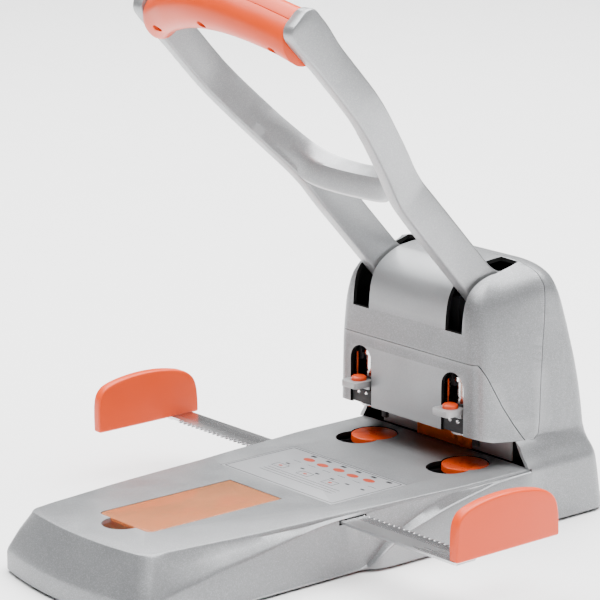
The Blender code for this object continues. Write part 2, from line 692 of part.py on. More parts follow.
def arm_back(s):
    if s < -13:
        return BOSS[1] - math.sqrt(BOSS_R ** 2 - (s - BOSS[0]) ** 2)
    return between([(-13.0, -30.0), (-6.0, -25.6), (2.0, -ARM_DEPTH), (200.0, -21.6),
                    (221.0, -23.4), (228.6, -23.0), (232.1, -21.4), (234.2, -18.6),
                    (235.0, -15.5)], s)


def arm(side, sign, look=None):
    rings = []
    for s in STATIONS:
        middle = sign * between(SPREAD, s)
        thick = between([(60.0, 5.0), (170.0, 4.0)], s)
        front, back = arm_front(s), arm_back(s)
        rings.append([on_lever(middle - thick, s, front), on_lever(middle + thick, s, front),
                      on_lever(middle + thick, s, back), on_lever(middle - thick, s, back)])
    return loft("lever_arm_" + side if look is None else "lever", rings, look)


def grip_height(x):
    """Middle of the arched grip along s."""
    return 236.8 - 18.0 * (x / 61.0) ** 2


def bridge():
    rings = []
    for i in range(-8, 9):
        x = 5.0 * i
        rise = (abs(x) / 34.0) ** 2
        steep = max(0.0, abs(x) - 33.0) ** 1.6 * 0.35
        top = [(84.0 + 7.5 * rise + steep, -0.5), (89.5 + 5.0 * rise + steep, -5.5),
               (92.0 + 3.5 * rise + steep, -11.0), (91.0 + 5.0 * rise + steep, -17.0),
               (88.2 + 7.0 * rise + steep, -21.8)]
        low = [(s - 4.6, n) for s, n in reversed(top)]
        rings.append([on_lever(x, s, n) for s, n in top + low])
    return loft("lever_bridge", rings)


def grip_ring(x, front):
    """Half of the grip's section, with the channel for the lever's crossbar."""
    middle = grip_height(x)
    sign = 1 if front else -1
    base = -11.0 + sign * GAP / 2
    reach = 14.0 if front else 13.6
    points = []
    for i in range(9):
        turn = math.pi * i / 8
        s = middle + 13.4 * math.cos(turn)
        n = base + sign * reach * math.sin(turn) ** 0.8
        points.append((s, n))
    points += [(middle - 8.4, base), (middle - 8.4, base + sign * 5.2),
               (middle + 8.4, base + sign * 5.2), (middle + 8.4, base)]
    return [on_lever(x, s, n) for s, n in points]


def lever():
    frame = arm("right", 1, ALUMINIUM)
    join(frame, arm("left", -1), bridge())
    stations = [6.2 * i for i in range(-10, 11)]
    bar = []
    for x in stations:
        middle = grip_height(max(-61.0, min(61.0, x)))
        bar.append([on_lever(x, s, n) for s, n in
                    ((middle - 7.6, -6.2), (middle + 7.6, -6.2), (middle + 7.6, -15.8),
                     (middle - 7.6, -15.8))])
    join(frame, loft("lever_crossbar", bar))
    cut(frame, axle("pivot_bore", *PIVOT, -70, 70, 5.3), axle("drive_bore", *DRIVE, -70, 70, DRIVE_R + GAP))

    grips = [loft("grip_" + name, [grip_ring(6.07 * i, name == "front") for i in range(-10, 11)],
                  ORANGE) for name in ("front", "back")]
    screws = []
    for i, x in enumerate((-49.6, 0.0, 49.6)):
        s = grip_height(x) - 2.0
        name = str(i + 1)
        cut(grips[0], cylinder("screw_hole_" + name, on_lever(x, s, -8), on_lever(x, s, 6), 3.3, None, 20))
        cut(frame, cylinder("screw_seat_" + name, on_lever(x, s, -13), on_lever(x, s, -4), 1.8, None, 16))
        screw = cylinder("grip_screw_" + name, on_lever(x, s, -5.4), on_lever(x, s, -1.0), 3.0, STEEL, 20)
        join(screw, cylinder("screw_shank_" + name, on_lever(x, s, -12.5), on_lever(x, s, -5), 1.5, None, 12))
        cut(screw, cylinder("screw_socket_" + name, on_lever(x, s, -3), on_lever(x, s, 0), 1.4, None, 6))
        screws.append(screw)
    shaft = axle("drive_shaft", *DRIVE, -44.6, 44.6, DRIVE_R, STEEL)
    rollers = []
    for name, sign in (("left", -1), ("right", 1)):
        roller = axle("drive_roller_" + name, *DRIVE, sign * 23.0, sign * 33.0, ROLLER_R, STEEL)
        rollers.append(cut(roller, axle("roller_bore_" + name, *DRIVE, sign * 20, sign * 36,
                                        DRIVE_R + GAP)))
    hinge_point("lever_axis", place(0, *PIVOT), frame, *grips, *screws, shaft, *rollers)


def main():
    base_shell()
    bottom_cover()
    feet()
    deck_fittings()
    compartment()
    side_stops()
    hood()
    head_frame()
    press_bar()
    both_sides(cartridge)
    lever()
    bpy.context.view_layer.update()


main()
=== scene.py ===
"""Looks of the heavy-duty two-hole paper punch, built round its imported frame.

Like the frame, every shape is given from the punching line: x across the machine, y towards its
back and z up from the deck, in millimetres.  place() reads where that datum lies from the cutting
discs of the frame.  The lever has a frame of its own: s along its arms, n towards its front.
"""
import json
import math

import bmesh
import bpy
from mathutils import Matrix, Vector


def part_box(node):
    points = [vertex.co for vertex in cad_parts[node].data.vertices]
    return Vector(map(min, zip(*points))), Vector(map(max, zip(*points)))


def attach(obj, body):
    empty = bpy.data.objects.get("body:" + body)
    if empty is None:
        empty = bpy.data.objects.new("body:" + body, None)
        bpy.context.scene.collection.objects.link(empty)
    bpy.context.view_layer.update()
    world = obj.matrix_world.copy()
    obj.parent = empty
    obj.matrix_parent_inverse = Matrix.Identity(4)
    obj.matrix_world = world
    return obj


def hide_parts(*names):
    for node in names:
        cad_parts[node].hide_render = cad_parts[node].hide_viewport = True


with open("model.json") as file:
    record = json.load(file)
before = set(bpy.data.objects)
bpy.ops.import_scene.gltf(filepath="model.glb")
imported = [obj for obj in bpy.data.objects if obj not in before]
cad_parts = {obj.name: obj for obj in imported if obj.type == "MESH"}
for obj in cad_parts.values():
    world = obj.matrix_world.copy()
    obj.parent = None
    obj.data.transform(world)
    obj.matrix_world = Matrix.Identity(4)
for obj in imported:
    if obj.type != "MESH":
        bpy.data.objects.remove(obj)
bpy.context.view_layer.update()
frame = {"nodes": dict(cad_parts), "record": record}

MM = 0.001
DISC_LOW, DISC_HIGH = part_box("cutting_disc_right")
PUNCH_Y = (DISC_LOW[1] + DISC_HIGH[1]) / 2 / MM
DECK_Z = DISC_HIGH[2] / MM
HOLE_X = (DISC_LOW[0] + DISC_HIGH[0]) / 2 / MM
DISC_R = (DISC_HIGH[0] - DISC_LOW[0]) / 2 / MM
GAP = 0.3

# Base
SHELL_DEEP = 35.0
WALL = 2.5
BASE_END = 20.5
BASE_HALF = 68.3
NOSE_Y = -263.6
LID_HALF = 22.9
LID_Y = (-219.0, -125.9)
LID_HINGE = (-126.9, -1.05)     # y, z
LABEL = (49.5, -111.4, -54.8)   # half width, front, back

# Hood
SLOT_HALF = 9.4
SLOT_TOP = 56.7
ARM_SLOT = (33.2, 47.3)         # inner and outer side in x
ARM_SLOT_FOOT = 80.6
SEAM_GAP = 0.22                 # half the width of a seam between two covers
SEAM = ((-8.3, 64.0), (-1.0, 51.5), (7.3, 37.4), (15.6, 25.6), (24.4, 14.4))
REAR_SEAM = ((34.5, 17.0), (35.6, 25.0), (36.2, 49.0), (37.3, 70.0), (38.5, 85.0), (38.7, 105.0),
             (36.9, 112.0))

# Lever
LEVER_DEG = 47.2
LEVER_Z = 98.8
PIVOT = (34.0, 98.0)
BOSS = (-23.7, -24.4)
BOSS_R = 12.0

# Side stops
STOP_X = 155.3                  # inner face
STOP_T = 6.6
RACK_PITCH = 4.084
PINION_Y = -85.0
RULER_Y = {"left": -58.0, "right": -112.0}
RULER_SLOT_Z = (-5.6, -2.6)
PINION_R = RACK_PITCH * 28 / (2 * math.pi)


# Frames and meshes -----------------------------------------------------------------------

def place(x, y, z):
    return Vector((x, y + PUNCH_Y, z + DECK_Z)) * MM


def on_lever(x, s, n):
    """A point of the lever's own frame."""
    turn = math.radians(LEVER_DEG)
    y = -s * math.cos(turn) - n * math.sin(turn)
    z = LEVER_Z + s * math.sin(turn) - n * math.cos(turn)
    return place(x, y, z)


def linear(table, key):
    if key <= table[0][0]:
        return table[0][1]
    for (a, low), (b, high) in zip(table, table[1:]):
        if key <= b:
            return low + (high - low) * (key - a) / (b - a)
    return table[-1][1]


def eased(table, key):
    """Read a short table of (key, value) pairs along a smooth curve that doesn't overshoot."""
    if key <= table[0][0]:
        return table[0][1]
    if key >= table[-1][0]:
        return table[-1][1]
    rises = [(high - low) / (b - a) for (a, low), (b, high) in zip(table, table[1:])]
    slopes = [rises[0]]
    for before, after in zip(rises, rises[1:]):
        slopes.append(0.0 if before * after <= 0 else 2 * before * after / (before + after))
    slopes.append(rises[-1])
    for i, ((a, low), (b, high)) in enumerate(zip(table, table[1:])):
        if key <= b:
            h = b - a
            t = (key - a) / h
            return ((2 * t ** 3 - 3 * t ** 2 + 1) * low + (t ** 3 - 2 * t ** 2 + t) * h * slopes[i]
                    + (3 * t ** 2 - 2 * t ** 3) * high + (t ** 3 - t ** 2) * h * slopes[i + 1])
    return table[-1][1]


def steps(first, last, count):
    return [first + (last - first) * i / count for i in range(count + 1)]


def arc(cx, cy, radius, first, last, count):
    turns = [math.radians(turn) for turn in steps(first, last, count)]
    return [(cx + radius * math.cos(t), cy + radius * math.sin(t)) for t in turns]


def through(points, count):
    """A smooth open line through a few points, as count + 1 points."""
    found = []
    for value in steps(0, len(points) - 1, count):
        i = min(int(value), len(points) - 2)
        t = value - i
        a, b, c, d = [Vector(points[max(0, min(len(points) - 1, i + k))]) for k in (-1, 0, 1, 2)]
        found.append(0.5 * (2 * b + (c - a) * t + (2 * a - 5 * b + 4 * c - d) * t ** 2
                            + (3 * b - a - 3 * c + d) * t ** 3))
    return found


def from_bmesh(name, build):
    bmesh.ops.recalc_face_normals(build, faces=build.faces)
    if build.calc_volume(signed=True) < 0:
        bmesh.ops.reverse_faces(build, faces=build.faces)
    mesh = bpy.data.meshes.new(name)
    build.to_mesh(mesh)
    build.free()
    thing = bpy.data.objects.new(name, mesh)
    bpy.context.scene.collection.objects.link(thing)
    return thing


def loft(name, rings):
    """A closed skin through rings of equal length."""
    build = bmesh.new()
    rows = [[build.verts.new(point) for point in ring] for ring in rings]
    count = len(rows[0])
    for low, high in zip(rows, rows[1:]):
        for i in range(count):
            j = (i + 1) % count
            build.faces.new((low[i], low[j], high[j], high[i]))
    build.faces.new(list(reversed(rows[0])))
    build.faces.new(rows[-1])
    return from_bmesh(name, build)


def prism(name, outline, low, high, axis="Z"):
    """A flat outline swept from low to high: (x, y), (y, z) or (x, z) points by axis."""
    spots = {"Z": lambda u, v, w: place(u, v, w), "X": lambda u, v, w: place(w, u, v),
             "Y": lambda u, v, w: place(u, w, v)}
    return loft(name, [[spots[axis](u, v, w) for u, v in outline] for w in (low, high)])


def box(name, low, high):
    outline = [(low[0], low[1]), (high[0], low[1]), (high[0], high[1]), (low[0], high[1])]
    return prism(name, outline, low[2], high[2])


def rounded(left, front, right, back, radius, count=6):
    outline = []
    for cx, cy, first in ((right, back, 0), (left, back, 90), (left, front, 180),
                          (right, front, 270)):
        inner_x = cx - radius if cx == right else cx + radius
        inner_y = cy - radius if cy == back else cy + radius
        outline += arc(inner_x, inner_y, radius, first, first + 90, count)
    return outline


def bar(name, first, last, radius, sides=48):
    """A round bar between two points."""
    along = last - first
    turn = along.to_track_quat("Z", "Y")
    rings = []
    for end in (first, last):
        rings.append([end + turn @ Vector((u, v, 0)) for u, v in
                      arc(0, 0, radius * MM, 0, 360 * (1 - 1 / sides), sides - 1)])
    return loft(name, rings)


def post(name, x, y, low, high, radius, sides=64):
    return bar(name, place(x, y, low), place(x, y, high), radius, sides)


def turned(name, profile, spot, up=Vector((0, 0, 1)), sides=64):
    """A closed profile of (radius, height) points turned about a line, heights along up."""
    build = bmesh.new()
    turn = up.to_track_quat("Z", "Y")
    rows = []
    for radius, height in profile:
        if radius <= 0:
            rows.append([build.verts.new(spot + turn @ Vector((0, 0, height * MM)))] * sides)
        else:
            rows.append([build.verts.new(spot + turn @ Vector((u, v, height * MM))) for u, v in
                         arc(0, 0, radius * MM, 0, 360 * (1 - 1 / sides), sides - 1)])
    pairs = list(zip(rows, rows[1:]))
    if profile[0][0] > 0:
        pairs.append((rows[-1], rows[0]))
    for low, high in pairs:
        for i in range(sides):
            j = (i + 1) % sides
            corners = []
            for vert in (low[i], low[j], high[j], high[i]):
                if vert not in corners:
                    corners.append(vert)
            if len(corners) > 2:
                build.faces.new(corners)
    return from_bmesh(name, build)


def bake(thing):
    """Apply every modifier."""
    graph = bpy.context.evaluated_depsgraph_get()
    mesh = bpy.data.meshes.new_from_object(thing.evaluated_get(graph))
    thing.modifiers.clear()
    thing.data = mesh
    return thing


def boolean(thing, other, operation):
    """Combine a piece with another, which is used up."""
    step = thing.modifiers.new("shape", "BOOLEAN")
    step.operation = operation
    step.solver = "EXACT"
    step.material_mode = "TRANSFER"
    step.object = other
    bake(thing)
    bpy.data.objects.remove(other, do_unlink=True)
    return thing


def cut(thing, *others, inside=None):
    """Cut others out of a piece; inside is the surface that the cut faces get."""
    for other in others:
        if inside is not None:
            other.data.materials.append(inside)
        boolean(thing, other, "DIFFERENCE")
    return thing


def join(thing, *others):
    for other in others:
        boolean(thing, other, "UNION")
    return thing


def bevel(thing, width, segments=3, degrees=35):
    step = thing.modifiers.new("bevel", "BEVEL")
    step.width = width * MM
    step.segments = segments
    step.limit_method = "ANGLE"
    step.angle_limit = math.radians(degrees)
    step.use_clamp_overlap = True
    return bake(thing)


def show(thing, look, body, nodes=(), degrees=32):
    """Finish a piece: shading, material, the body it rides on and the nodes it stands for."""
    mesh = thing.data
    mesh.shade_smooth()
    mesh.set_sharp_from_angle(angle=math.radians(degrees))
    if look is not None:
        mesh.materials.clear()
        mesh.materials.append(look)
    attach(thing, body)
    if nodes:
        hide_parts(*nodes)
    return thing


SIDES = (("left", -1), ("right", 1))


# Materials -------------------------------------------------------------------------------

CLOUD = 55      # size of the slow change of tone, of the uneven gloss and of a flake, in mm
SMEAR = 18
FLAKE = 0.35


def look(name, colour, rough, metal=0.0, grain=0.5, bump=0.12, tone=0.06, rough_by=0.08,
         stretch=(1, 1, 1), coat=0.0, clear=0.0, wear=0.0, spark=0.0):
    """A surface with grain, uneven gloss, metal flakes and worn edges; grain is a size in mm."""
    made = bpy.data.materials.new(name)
    made.use_nodes = True
    tree = made.node_tree
    shader = tree.nodes["Principled BSDF"]
    new = tree.nodes.new
    join_up = tree.links.new
    spot = new("ShaderNodeTexCoord")
    scale = new("ShaderNodeMapping")
    scale.inputs["Scale"].default_value = stretch
    join_up(spot.outputs["Object"], scale.inputs["Vector"])

    def noise(size, detail):
        node = new("ShaderNodeTexNoise")
        node.inputs["Scale"].default_value = 1.0 / (size * MM)
        node.inputs["Detail"].default_value = detail
        join_up(scale.outputs["Vector"], node.inputs["Vector"])
        return node.outputs["Fac"]

    def spread(source, low, high, start=0.3, end=0.7):
        node = new("ShaderNodeMapRange")
        node.inputs["From Min"].default_value = start
        node.inputs["From Max"].default_value = end
        node.inputs["To Min"].default_value = low
        node.inputs["To Max"].default_value = high
        join_up(source, node.inputs["Value"])
        return node.outputs["Result"]

    def mixed(factor, low, high):
        node = new("ShaderNodeMix")
        node.data_type = "RGBA"
        join_up(factor, node.inputs["Factor"])
        for index, value in ((6, low), (7, high)):
            if isinstance(value, tuple):
                node.inputs[index].default_value = (*value, 1.0)
            else:
                join_up(value, node.inputs[index])
        return node.outputs[2]

    darker = tuple(c * (1 - tone) for c in colour)
    lighter = tuple(min(1.0, c * (1 + tone)) for c in colour)
    shade = mixed(spread(noise(CLOUD, 3), 0, 1), darker, lighter)
    if spark:
        flake = new("ShaderNodeTexVoronoi")
        flake.inputs["Scale"].default_value = 1.0 / (FLAKE * MM)
        join_up(scale.outputs["Vector"], flake.inputs["Vector"])
        bright = tuple(min(1.0, c * (1 + spark)) for c in colour)
        level = new("ShaderNodeSeparateColor")
        join_up(flake.outputs["Color"], level.inputs["Color"])
        shade = mixed(spread(level.outputs[0], 0, 1, 0.55, 1.0), shade, bright)
    if wear:
        edge = new("ShaderNodeNewGeometry")
        bright = tuple(min(1.0, c * (1 + wear) + 0.02) for c in colour)
        shade = mixed(spread(edge.outputs["Pointiness"], 0, 1, 0.52, 0.60), shade, bright)
    join_up(shade, shader.inputs["Base Color"])
    join_up(spread(noise(SMEAR, 4), max(0.02, rough - rough_by), rough + rough_by),
            shader.inputs["Roughness"])
    relief = new("ShaderNodeBump")
    relief.inputs["Strength"].default_value = bump
    relief.inputs["Distance"].default_value = 0.00004
    join_up(noise(grain, 2), relief.inputs["Height"])
    join_up(relief.outputs["Normal"], shader.inputs["Normal"])
    shader.inputs["Metallic"].default_value = metal
    shader.inputs["Specular IOR Level"].default_value = 0.5 if metal else 0.3
    shader.inputs["Coat Weight"].default_value = coat
    shader.inputs["Coat Roughness"].default_value = 0.12
    if clear:
        shader.inputs["Transmission Weight"].default_value = clear
        shader.inputs["IOR"].default_value = 1.46
    return made


LOOKS = {
    "silver": look("silver_paint", (0.20, 0.205, 0.211),
                   rough=0.40, metal=0.45, grain=0.45, bump=0.3, tone=0.02, rough_by=0.05,
                   spark=0.5, wear=0.6),
    "silver_lever": look("silver_cast", (0.30, 0.305, 0.312),
                         rough=0.36, metal=0.6, grain=0.6, bump=0.3, tone=0.03, rough_by=0.06,
                         spark=0.3, wear=0.4),
    "orange": look("orange_gloss", (0.68, 0.058, 0.006),
                   rough=0.34, grain=0.8, bump=0.08, tone=0.03, rough_by=0.05, wear=0.25),
    "disc": look("orange_disc", (0.80, 0.080, 0.012),
                 rough=0.30, grain=0.9, bump=0.06, tone=0.03, rough_by=0.05, coat=0.15),
    # Lid colour: partly its own pale orange, partly a painted sheen, since it is made lighter to
    # stand in for the reflection on its top
    "clear": look("orange_clear", (0.90, 0.40, 0.18),
                  rough=0.20, grain=1.5, bump=0.04, tone=0.03, rough_by=0.05, clear=0.75),
    "black": look("black_moulded", (0.008, 0.008, 0.009),
                  rough=0.5, grain=0.5, bump=0.3, tone=0.1, rough_by=0.1, wear=0.8),
    # Painted shade: the insides of hollows, slots and holes are coloured near-black to stand in for
    # the shade that falls in them, darker than any real black
    "dark": look("painted_shade_interior", (0.0015, 0.0015, 0.0015),
                 rough=0.9, grain=0.5, bump=0.2, tone=0.1, rough_by=0.05),
    "rubber": look("foot_rubber", (0.03, 0.03, 0.03),
                   rough=0.8, grain=0.4, bump=0.4, tone=0.1, rough_by=0.08),
    "label": look("label_film", (0.27, 0.275, 0.285),
                  rough=0.40, metal=0.1, grain=0.5, bump=0.12, tone=0.01, rough_by=0.04,
                  spark=0.08),
    "ink": look("printed_ink", (0.012, 0.012, 0.014),
                rough=0.4, grain=0.3, bump=0.1, tone=0.05, rough_by=0.05),
    "orange_ink": look("orange_ink", (0.34, 0.035, 0.012),
                       rough=0.4, grain=0.3, bump=0.1, tone=0.05, rough_by=0.05),
    "ruler": look("ruler_steel", (0.58, 0.58, 0.59),
                  rough=0.26, metal=1.0, grain=0.4, bump=0.5, tone=0.03, rough_by=0.08,
                  stretch=(0.06, 1, 1)),
    "steel": look("bright_steel", (0.72, 0.72, 0.72),
                  rough=0.16, metal=1.0, grain=0.4, bump=0.2, tone=0.04, rough_by=0.06,
                  stretch=(1, 1, 6)),
    "phosphate": look("dark_steel", (0.06, 0.06, 0.065),
                      rough=0.45, metal=0.8, grain=0.5, bump=0.4, tone=0.12, rough_by=0.1),
    "spring": look("spring_steel", (0.40, 0.40, 0.40),
                   rough=0.3, metal=1.0, grain=0.4, bump=0.3, tone=0.1, rough_by=0.1),
    "brass": look("bush_brass", (0.66, 0.45, 0.18),
                  rough=0.3, metal=1.0, grain=0.4, bump=0.3, tone=0.08, rough_by=0.08),
    "amber": look("orange_amber", (0.88, 0.17, 0.02),
                  rough=0.25, grain=1.5, bump=0.04, tone=0.03, rough_by=0.05, clear=0.25),
    "plate": look("pale_plate", (0.42, 0.425, 0.43),
                  rough=0.38, metal=0.25, grain=0.5, bump=0.2, tone=0.02, rough_by=0.05),
}


# Base ------------------------------------------------------------------------------------

# Tables along y: how far the fender stands out, where its ridge, the groove above it and the
# side's crease lie in z, the deck's edge in x, how much narrower the base gets towards the nose
# and how far its wall leans out towards the back
FENDER = ((-104.0, 0.0), (-101.0, 2.6), (-97.0, 4.8), (-92.0, 6.1), (-84.0, 6.7))
RIDGE_Z = ((-104.0, -34.4), (-101.0, -33.4), (-98.0, -30.0), (-88.0, -22.6), (-75.0, -16.8),
           (-60.0, -13.0), (-44.5, -9.1), (-21.0, -5.0), (-5.4, -2.6), (20.5, -1.6))
GROOVE_Z = ((-106.0, -34.0), (-104.0, -33.4), (-95.0, -28.0), (-87.6, -21.6), (-76.3, -16.0),
            (-61.0, -9.7), (-50.0, -5.8), (-38.0, -3.2), (-25.0, -2.4), (20.5, -1.5))
CREASE_Z = ((-247.0, -23.6), (-235.0, -20.2), (-220.0, -17.0), (-203.0, -13.1),
            (-185.0, -10.8), (-171.0, -8.7), (-150.0, -5.3), (-136.0, -3.5), (-121.0, -2.6),
            (-60.0, -2.2), (20.5, -1.4))
DECK_EDGE = ((-241.0, 53.0), (-225.0, 55.5), (-211.0, 57.0), (-180.0, 60.7), (-150.0, 63.0),
             (-115.0, 65.2), (-98.0, 67.0), (-77.0, 68.6), (-56.0, 70.0), (-42.0, 71.4),
             (-28.0, 72.3), (20.5, 72.8))
NOSE_IN = ((-249.0, 3.4), (-200.0, 0.0))
WALL_X = ((-115.0, 0.0), (-98.0, 0.2), (-77.0, 1.0), (-56.0, 2.3), (-42.0, 3.7), (-28.0, 4.6),
          (20.5, 5.1))

SIDE_Y = steps(BASE_END, -232.0, 62)

# The nose's outlines as (half width, middle of the front, end of the side, corner radius)
FULL_NOSE = (64.9, NOSE_Y, -248.0, 8.5)
FOOT_NOSE = (64.3, NOSE_Y + 0.6, -248.0, 8.1)
DECK_NOSE = (53.6, -250.5, -237.0, 9.5)
NOSE_CREASE = -23.6
CORNER_TURN = 78
CORNER_STEPS = 10
FRONT_STEPS = 12


def nose(half, middle, side_y, radius):
    """The nose at one level: a round corner and a bowed front, from the side to the middle."""
    corner_x = half - radius
    points = []
    for turn in steps(0, -CORNER_TURN, CORNER_STEPS):
        t = math.radians(turn)
        points.append((corner_x + radius * math.cos(t), side_y + radius * math.sin(t)))
    x_end, y_end = points[-1]
    for i in range(1, FRONT_STEPS + 1):
        x = x_end * (1 - i / FRONT_STEPS)
        y = middle + (y_end - middle) * (x / x_end) ** 2
        points.append((x, y))
    return points


def base_row(heights, shape, z_nose):
    """Half a ring of the base from (x, z) along its side and the nose's outline."""
    row = [(x, y, z) for y, (x, z) in zip(SIDE_Y, heights)]
    row += [(x, y, z_nose) for x, y in nose(*shape)]
    return row


def base_rows():
    """Half rings of the base's skin, from its foot up to the deck."""
    out = [eased(FENDER, y) for y in SIDE_Y]
    flare = [min(1.0, value / FENDER[-1][1]) for value in out]
    half = [BASE_HALF - eased(NOSE_IN, y) for y in SIDE_Y]
    wall = [h - 0.3 + eased(WALL_X, y) for h, y in zip(half, SIDE_Y)]
    ridge = [eased(RIDGE_Z, y) for y in SIDE_Y]
    groove = [min(eased(GROOVE_Z, y), eased(CREASE_Z, y) - 0.3) for y in SIDE_Y]
    crease = [eased(CREASE_Z, y) for y in SIDE_Y]
    deck = [eased(DECK_EDGE, y) for y in SIDE_Y]
    wide = [h + value for h, value in zip(half, out)]
    n = range(len(SIDE_Y))
    foot = -SHELL_DEEP

    # Foot, fender, its rounded ridge, the groove, and the wall up to the crease
    rows = [base_row([(wide[i] - 0.6, foot) for i in n], FOOT_NOSE, foot),
            base_row([(wide[i], min(foot + 0.7, ridge[i] - 0.5)) for i in n], FULL_NOSE,
                     foot + 0.7),
            base_row([(wide[i], ridge[i] - 0.9 * flare[i]) for i in n], FULL_NOSE, foot + 1.1),
            base_row([(wide[i] - 0.35 * flare[i], ridge[i] - 0.2 * flare[i]) for i in n],
                     FULL_NOSE, foot + 1.4),
            base_row([(max(wall[i], wide[i] - 1.3 * flare[i]), ridge[i] + 0.35 * flare[i])
                      for i in n], FULL_NOSE, foot + 1.7),
            base_row([(min(wide[i], wall[i] + 0.5 * flare[i]), groove[i] - 0.1) for i in n],
                     FULL_NOSE, foot + 2.0),
            base_row([(wall[i], min(groove[i] + 1.2, crease[i] - 0.2)) for i in n], FULL_NOSE,
                     foot + 3.0),
            base_row([(wall[i], crease[i] - 0.1 - 0.9 * min(1.0, -crease[i] / 9)) for i in n],
                     FULL_NOSE, NOSE_CREASE - 1.0)]

    # The chamfer from the crease to the deck's edge, as shares of its width
    half_nose, middle, side, radius = DECK_NOSE
    width = [wall[i] - deck[i] for i in n]
    for share in (0.95, 0.84, 0.5):
        bulge = share ** 0.8
        shape = (half_nose + 11.3 * bulge, middle - 13.0 * bulge, side - 11.0 * share,
                 radius - share)
        rows.append(base_row([(deck[i] + width[i] * share, crease[i] * share) for i in n], shape,
                             NOSE_CREASE * share))

    # The rounding of the deck's edge
    for along, z in ((1.6, -2.4), (0.8, -1.1), (0.0, -0.35), (-1.2, 0.0)):
        shape = (half_nose + along, middle - along * 0.8, side, radius + along * 0.4)
        rows.append(base_row([(deck[i] + along * 0.6 * min(1.0, width[i] / 2 + 0.3),
                               z * min(1.0, -crease[i] / 3.0)) for i in n], shape, z))
    return rows


HOLLOW_Y = (BASE_END + 3, -60.0, -84.0, -92.0, -97.0, -101.0, -104.0, -122.0, -150.0, -200.0,
            -236.0)


def hollow_ring(near, far, z, flare=0.0):
    """One level of the base's hollow, with its insets beside the rulers and beside the lid."""
    right = []
    for y in HOLLOW_Y:
        inset = near if y >= -122.0 else far
        x = BASE_HALF - eased(NOSE_IN, y) - inset + eased(FENDER, y) * flare
        right.append((x, y, z))
    right += [(60.0 - far, -248.0 + far * 0.4, z), (43.0, -253.0 + far * 0.6, z),
              (0.0, -257.0 + far * 0.7, z)]
    left = [(-x, y, level) for x, y, level in reversed(right[:-1])]
    return [place(*point) for point in right + left]


def base_shell():
    """The silver base with the openings of its deck."""
    rings = []
    for row in base_rows():
        left = [(-x, y, z) for x, y, z in reversed(row[:-1])]
        rings.append([place(*point) for point in row + left])
    shell = loft("base_shell_skin", rings)
    shell.data.materials.append(LOOKS["silver"])

    hollow = loft("base_room", [hollow_ring(WALL, WALL, -SHELL_DEEP - 2, 0.5),
                                hollow_ring(WALL, WALL, -31.0, 0.5),
                                hollow_ring(3.2, 9.0, -20.0),
                                hollow_ring(3.6, 18.0, -WALL)])
    # The hollow's faces get painted shade, near-black for the shade inside the base
    hollow.data.materials.append(LOOKS["dark"])
    cut(shell, hollow)
    half, front, back = LABEL
    cut(shell,
        prism("lid_hole", lid_outline(0.6), -6, 2),
        post("lid_notch", 0, LID_Y[0] - 1.2, -6, 2, 11.5),
        prism("label_seat", rounded(-half - GAP, front - GAP, half + GAP, back + GAP, 1.0),
              -0.8, 2))
    # The cut faces of the disc holes, their notches and the ruler slots get the same painted shade
    for side, sign in SIDES:
        cut(shell, post("disc_hole_" + side, sign * HOLE_X, 0, -6, 2, DISC_R + 0.35),
            post("disc_notch_" + side, sign * HOLE_X, -13.6, -6, 2, 13.0), inside=LOOKS["dark"])
    low, high = RULER_SLOT_Z
    cut(shell, box("slot_right", (50, -121.6, low), (90, -101.7, high)),
        box("slot_left", (-90, -68.3, low), (-50, -48.6, high)), inside=LOOKS["dark"])
    show(shell, None, "frame", ["base_shell"], 28)


def lid_outline(spare):
    """The disc compartment's lid: round corners in front, square ones at the hinge."""
    half = LID_HALF + spare
    front = LID_Y[0] - spare
    back = LID_Y[1] + spare
    r = 3.6 + spare
    outline = [(half, back), (-half, back)]
    outline += arc(-half + r, front + r, r, 180, 270, 8)
    outline += arc(half - r, front + r, r, 270, 360, 8)
    return outline


def deck_pieces():
    """The cutting discs under the punches, the compartment's lid and the spare discs."""
    for side, sign in SIDES:
        x = sign * HOLE_X
        r = DISC_R
        profile = [(0, 0.0), (r - 1.6, 0.0), (r - 0.7, -0.12), (r - 0.15, -0.5), (r, -1.0),
                   (r, -4.0), (r - 0.3, -4.3), (0, -4.3)]
        disc = turned("cutting_disc_top_" + side, profile, place(x, 0, 0))
        arrow = [(-6.4, 5.0), (-3.6, 3.4), (-3.6, 4.4), (1.8, 4.4), (1.8, 5.6), (-3.6, 5.6),
                 (-3.6, 6.6)]
        cut(disc, prism("arrow_" + side, [(x + u, v - 2) for u, v in arrow], -0.35, 1.0))
        show(disc, LOOKS["disc"], "disc_" + side, ["cutting_disc_" + side])

    lid = prism("lid_panel", lid_outline(0.0), -2.0, -0.05)
    bevel(lid, 0.45, 3)
    reach = LID_HALF + 1.2
    hinge = bar("lid_pins", place(-reach, *LID_HINGE), place(reach, *LID_HINGE), 0.75, 20)
    join(lid, hinge)
    show(lid, LOOKS["clear"], "compartment_lid", ["compartment_lid"])

    for i in range(3):
        low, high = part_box("spare_disc_%d" % (i + 1))
        middle = Vector(((low[0] + high[0]) / 2, (low[1] + high[1]) / 2, low[2]))
        tall = (high[2] - low[2]) / MM
        r = (high[0] - low[0]) / 2 / MM
        profile = [(0, 0), (r - 0.4, 0), (r, 0.4), (r, tall - 1.0), (r - 0.8, tall - 0.2),
                   (r - 1.6, tall), (0, tall)]
        show(turned("spare_disc_top_%d" % (i + 1), profile, middle), LOOKS["disc"], "frame",
             ["spare_disc_%d" % (i + 1)])


def ellipse(x, y, rx, ry, count=28):
    return [(x + rx * u, y + ry * v) for u, v in arc(0, 0, 1, 0, 360 * (1 - 1 / count), count - 1)]


def merge(name, parts):
    """One object out of several that don't touch."""
    build = bmesh.new()
    for part in parts:
        build.from_mesh(part.data)
        bpy.data.objects.remove(part, do_unlink=True)
    mesh = bpy.data.meshes.new(name)
    build.to_mesh(mesh)
    build.free()
    thing = bpy.data.objects.new(name, mesh)
    bpy.context.scene.collection.objects.link(thing)
    return thing


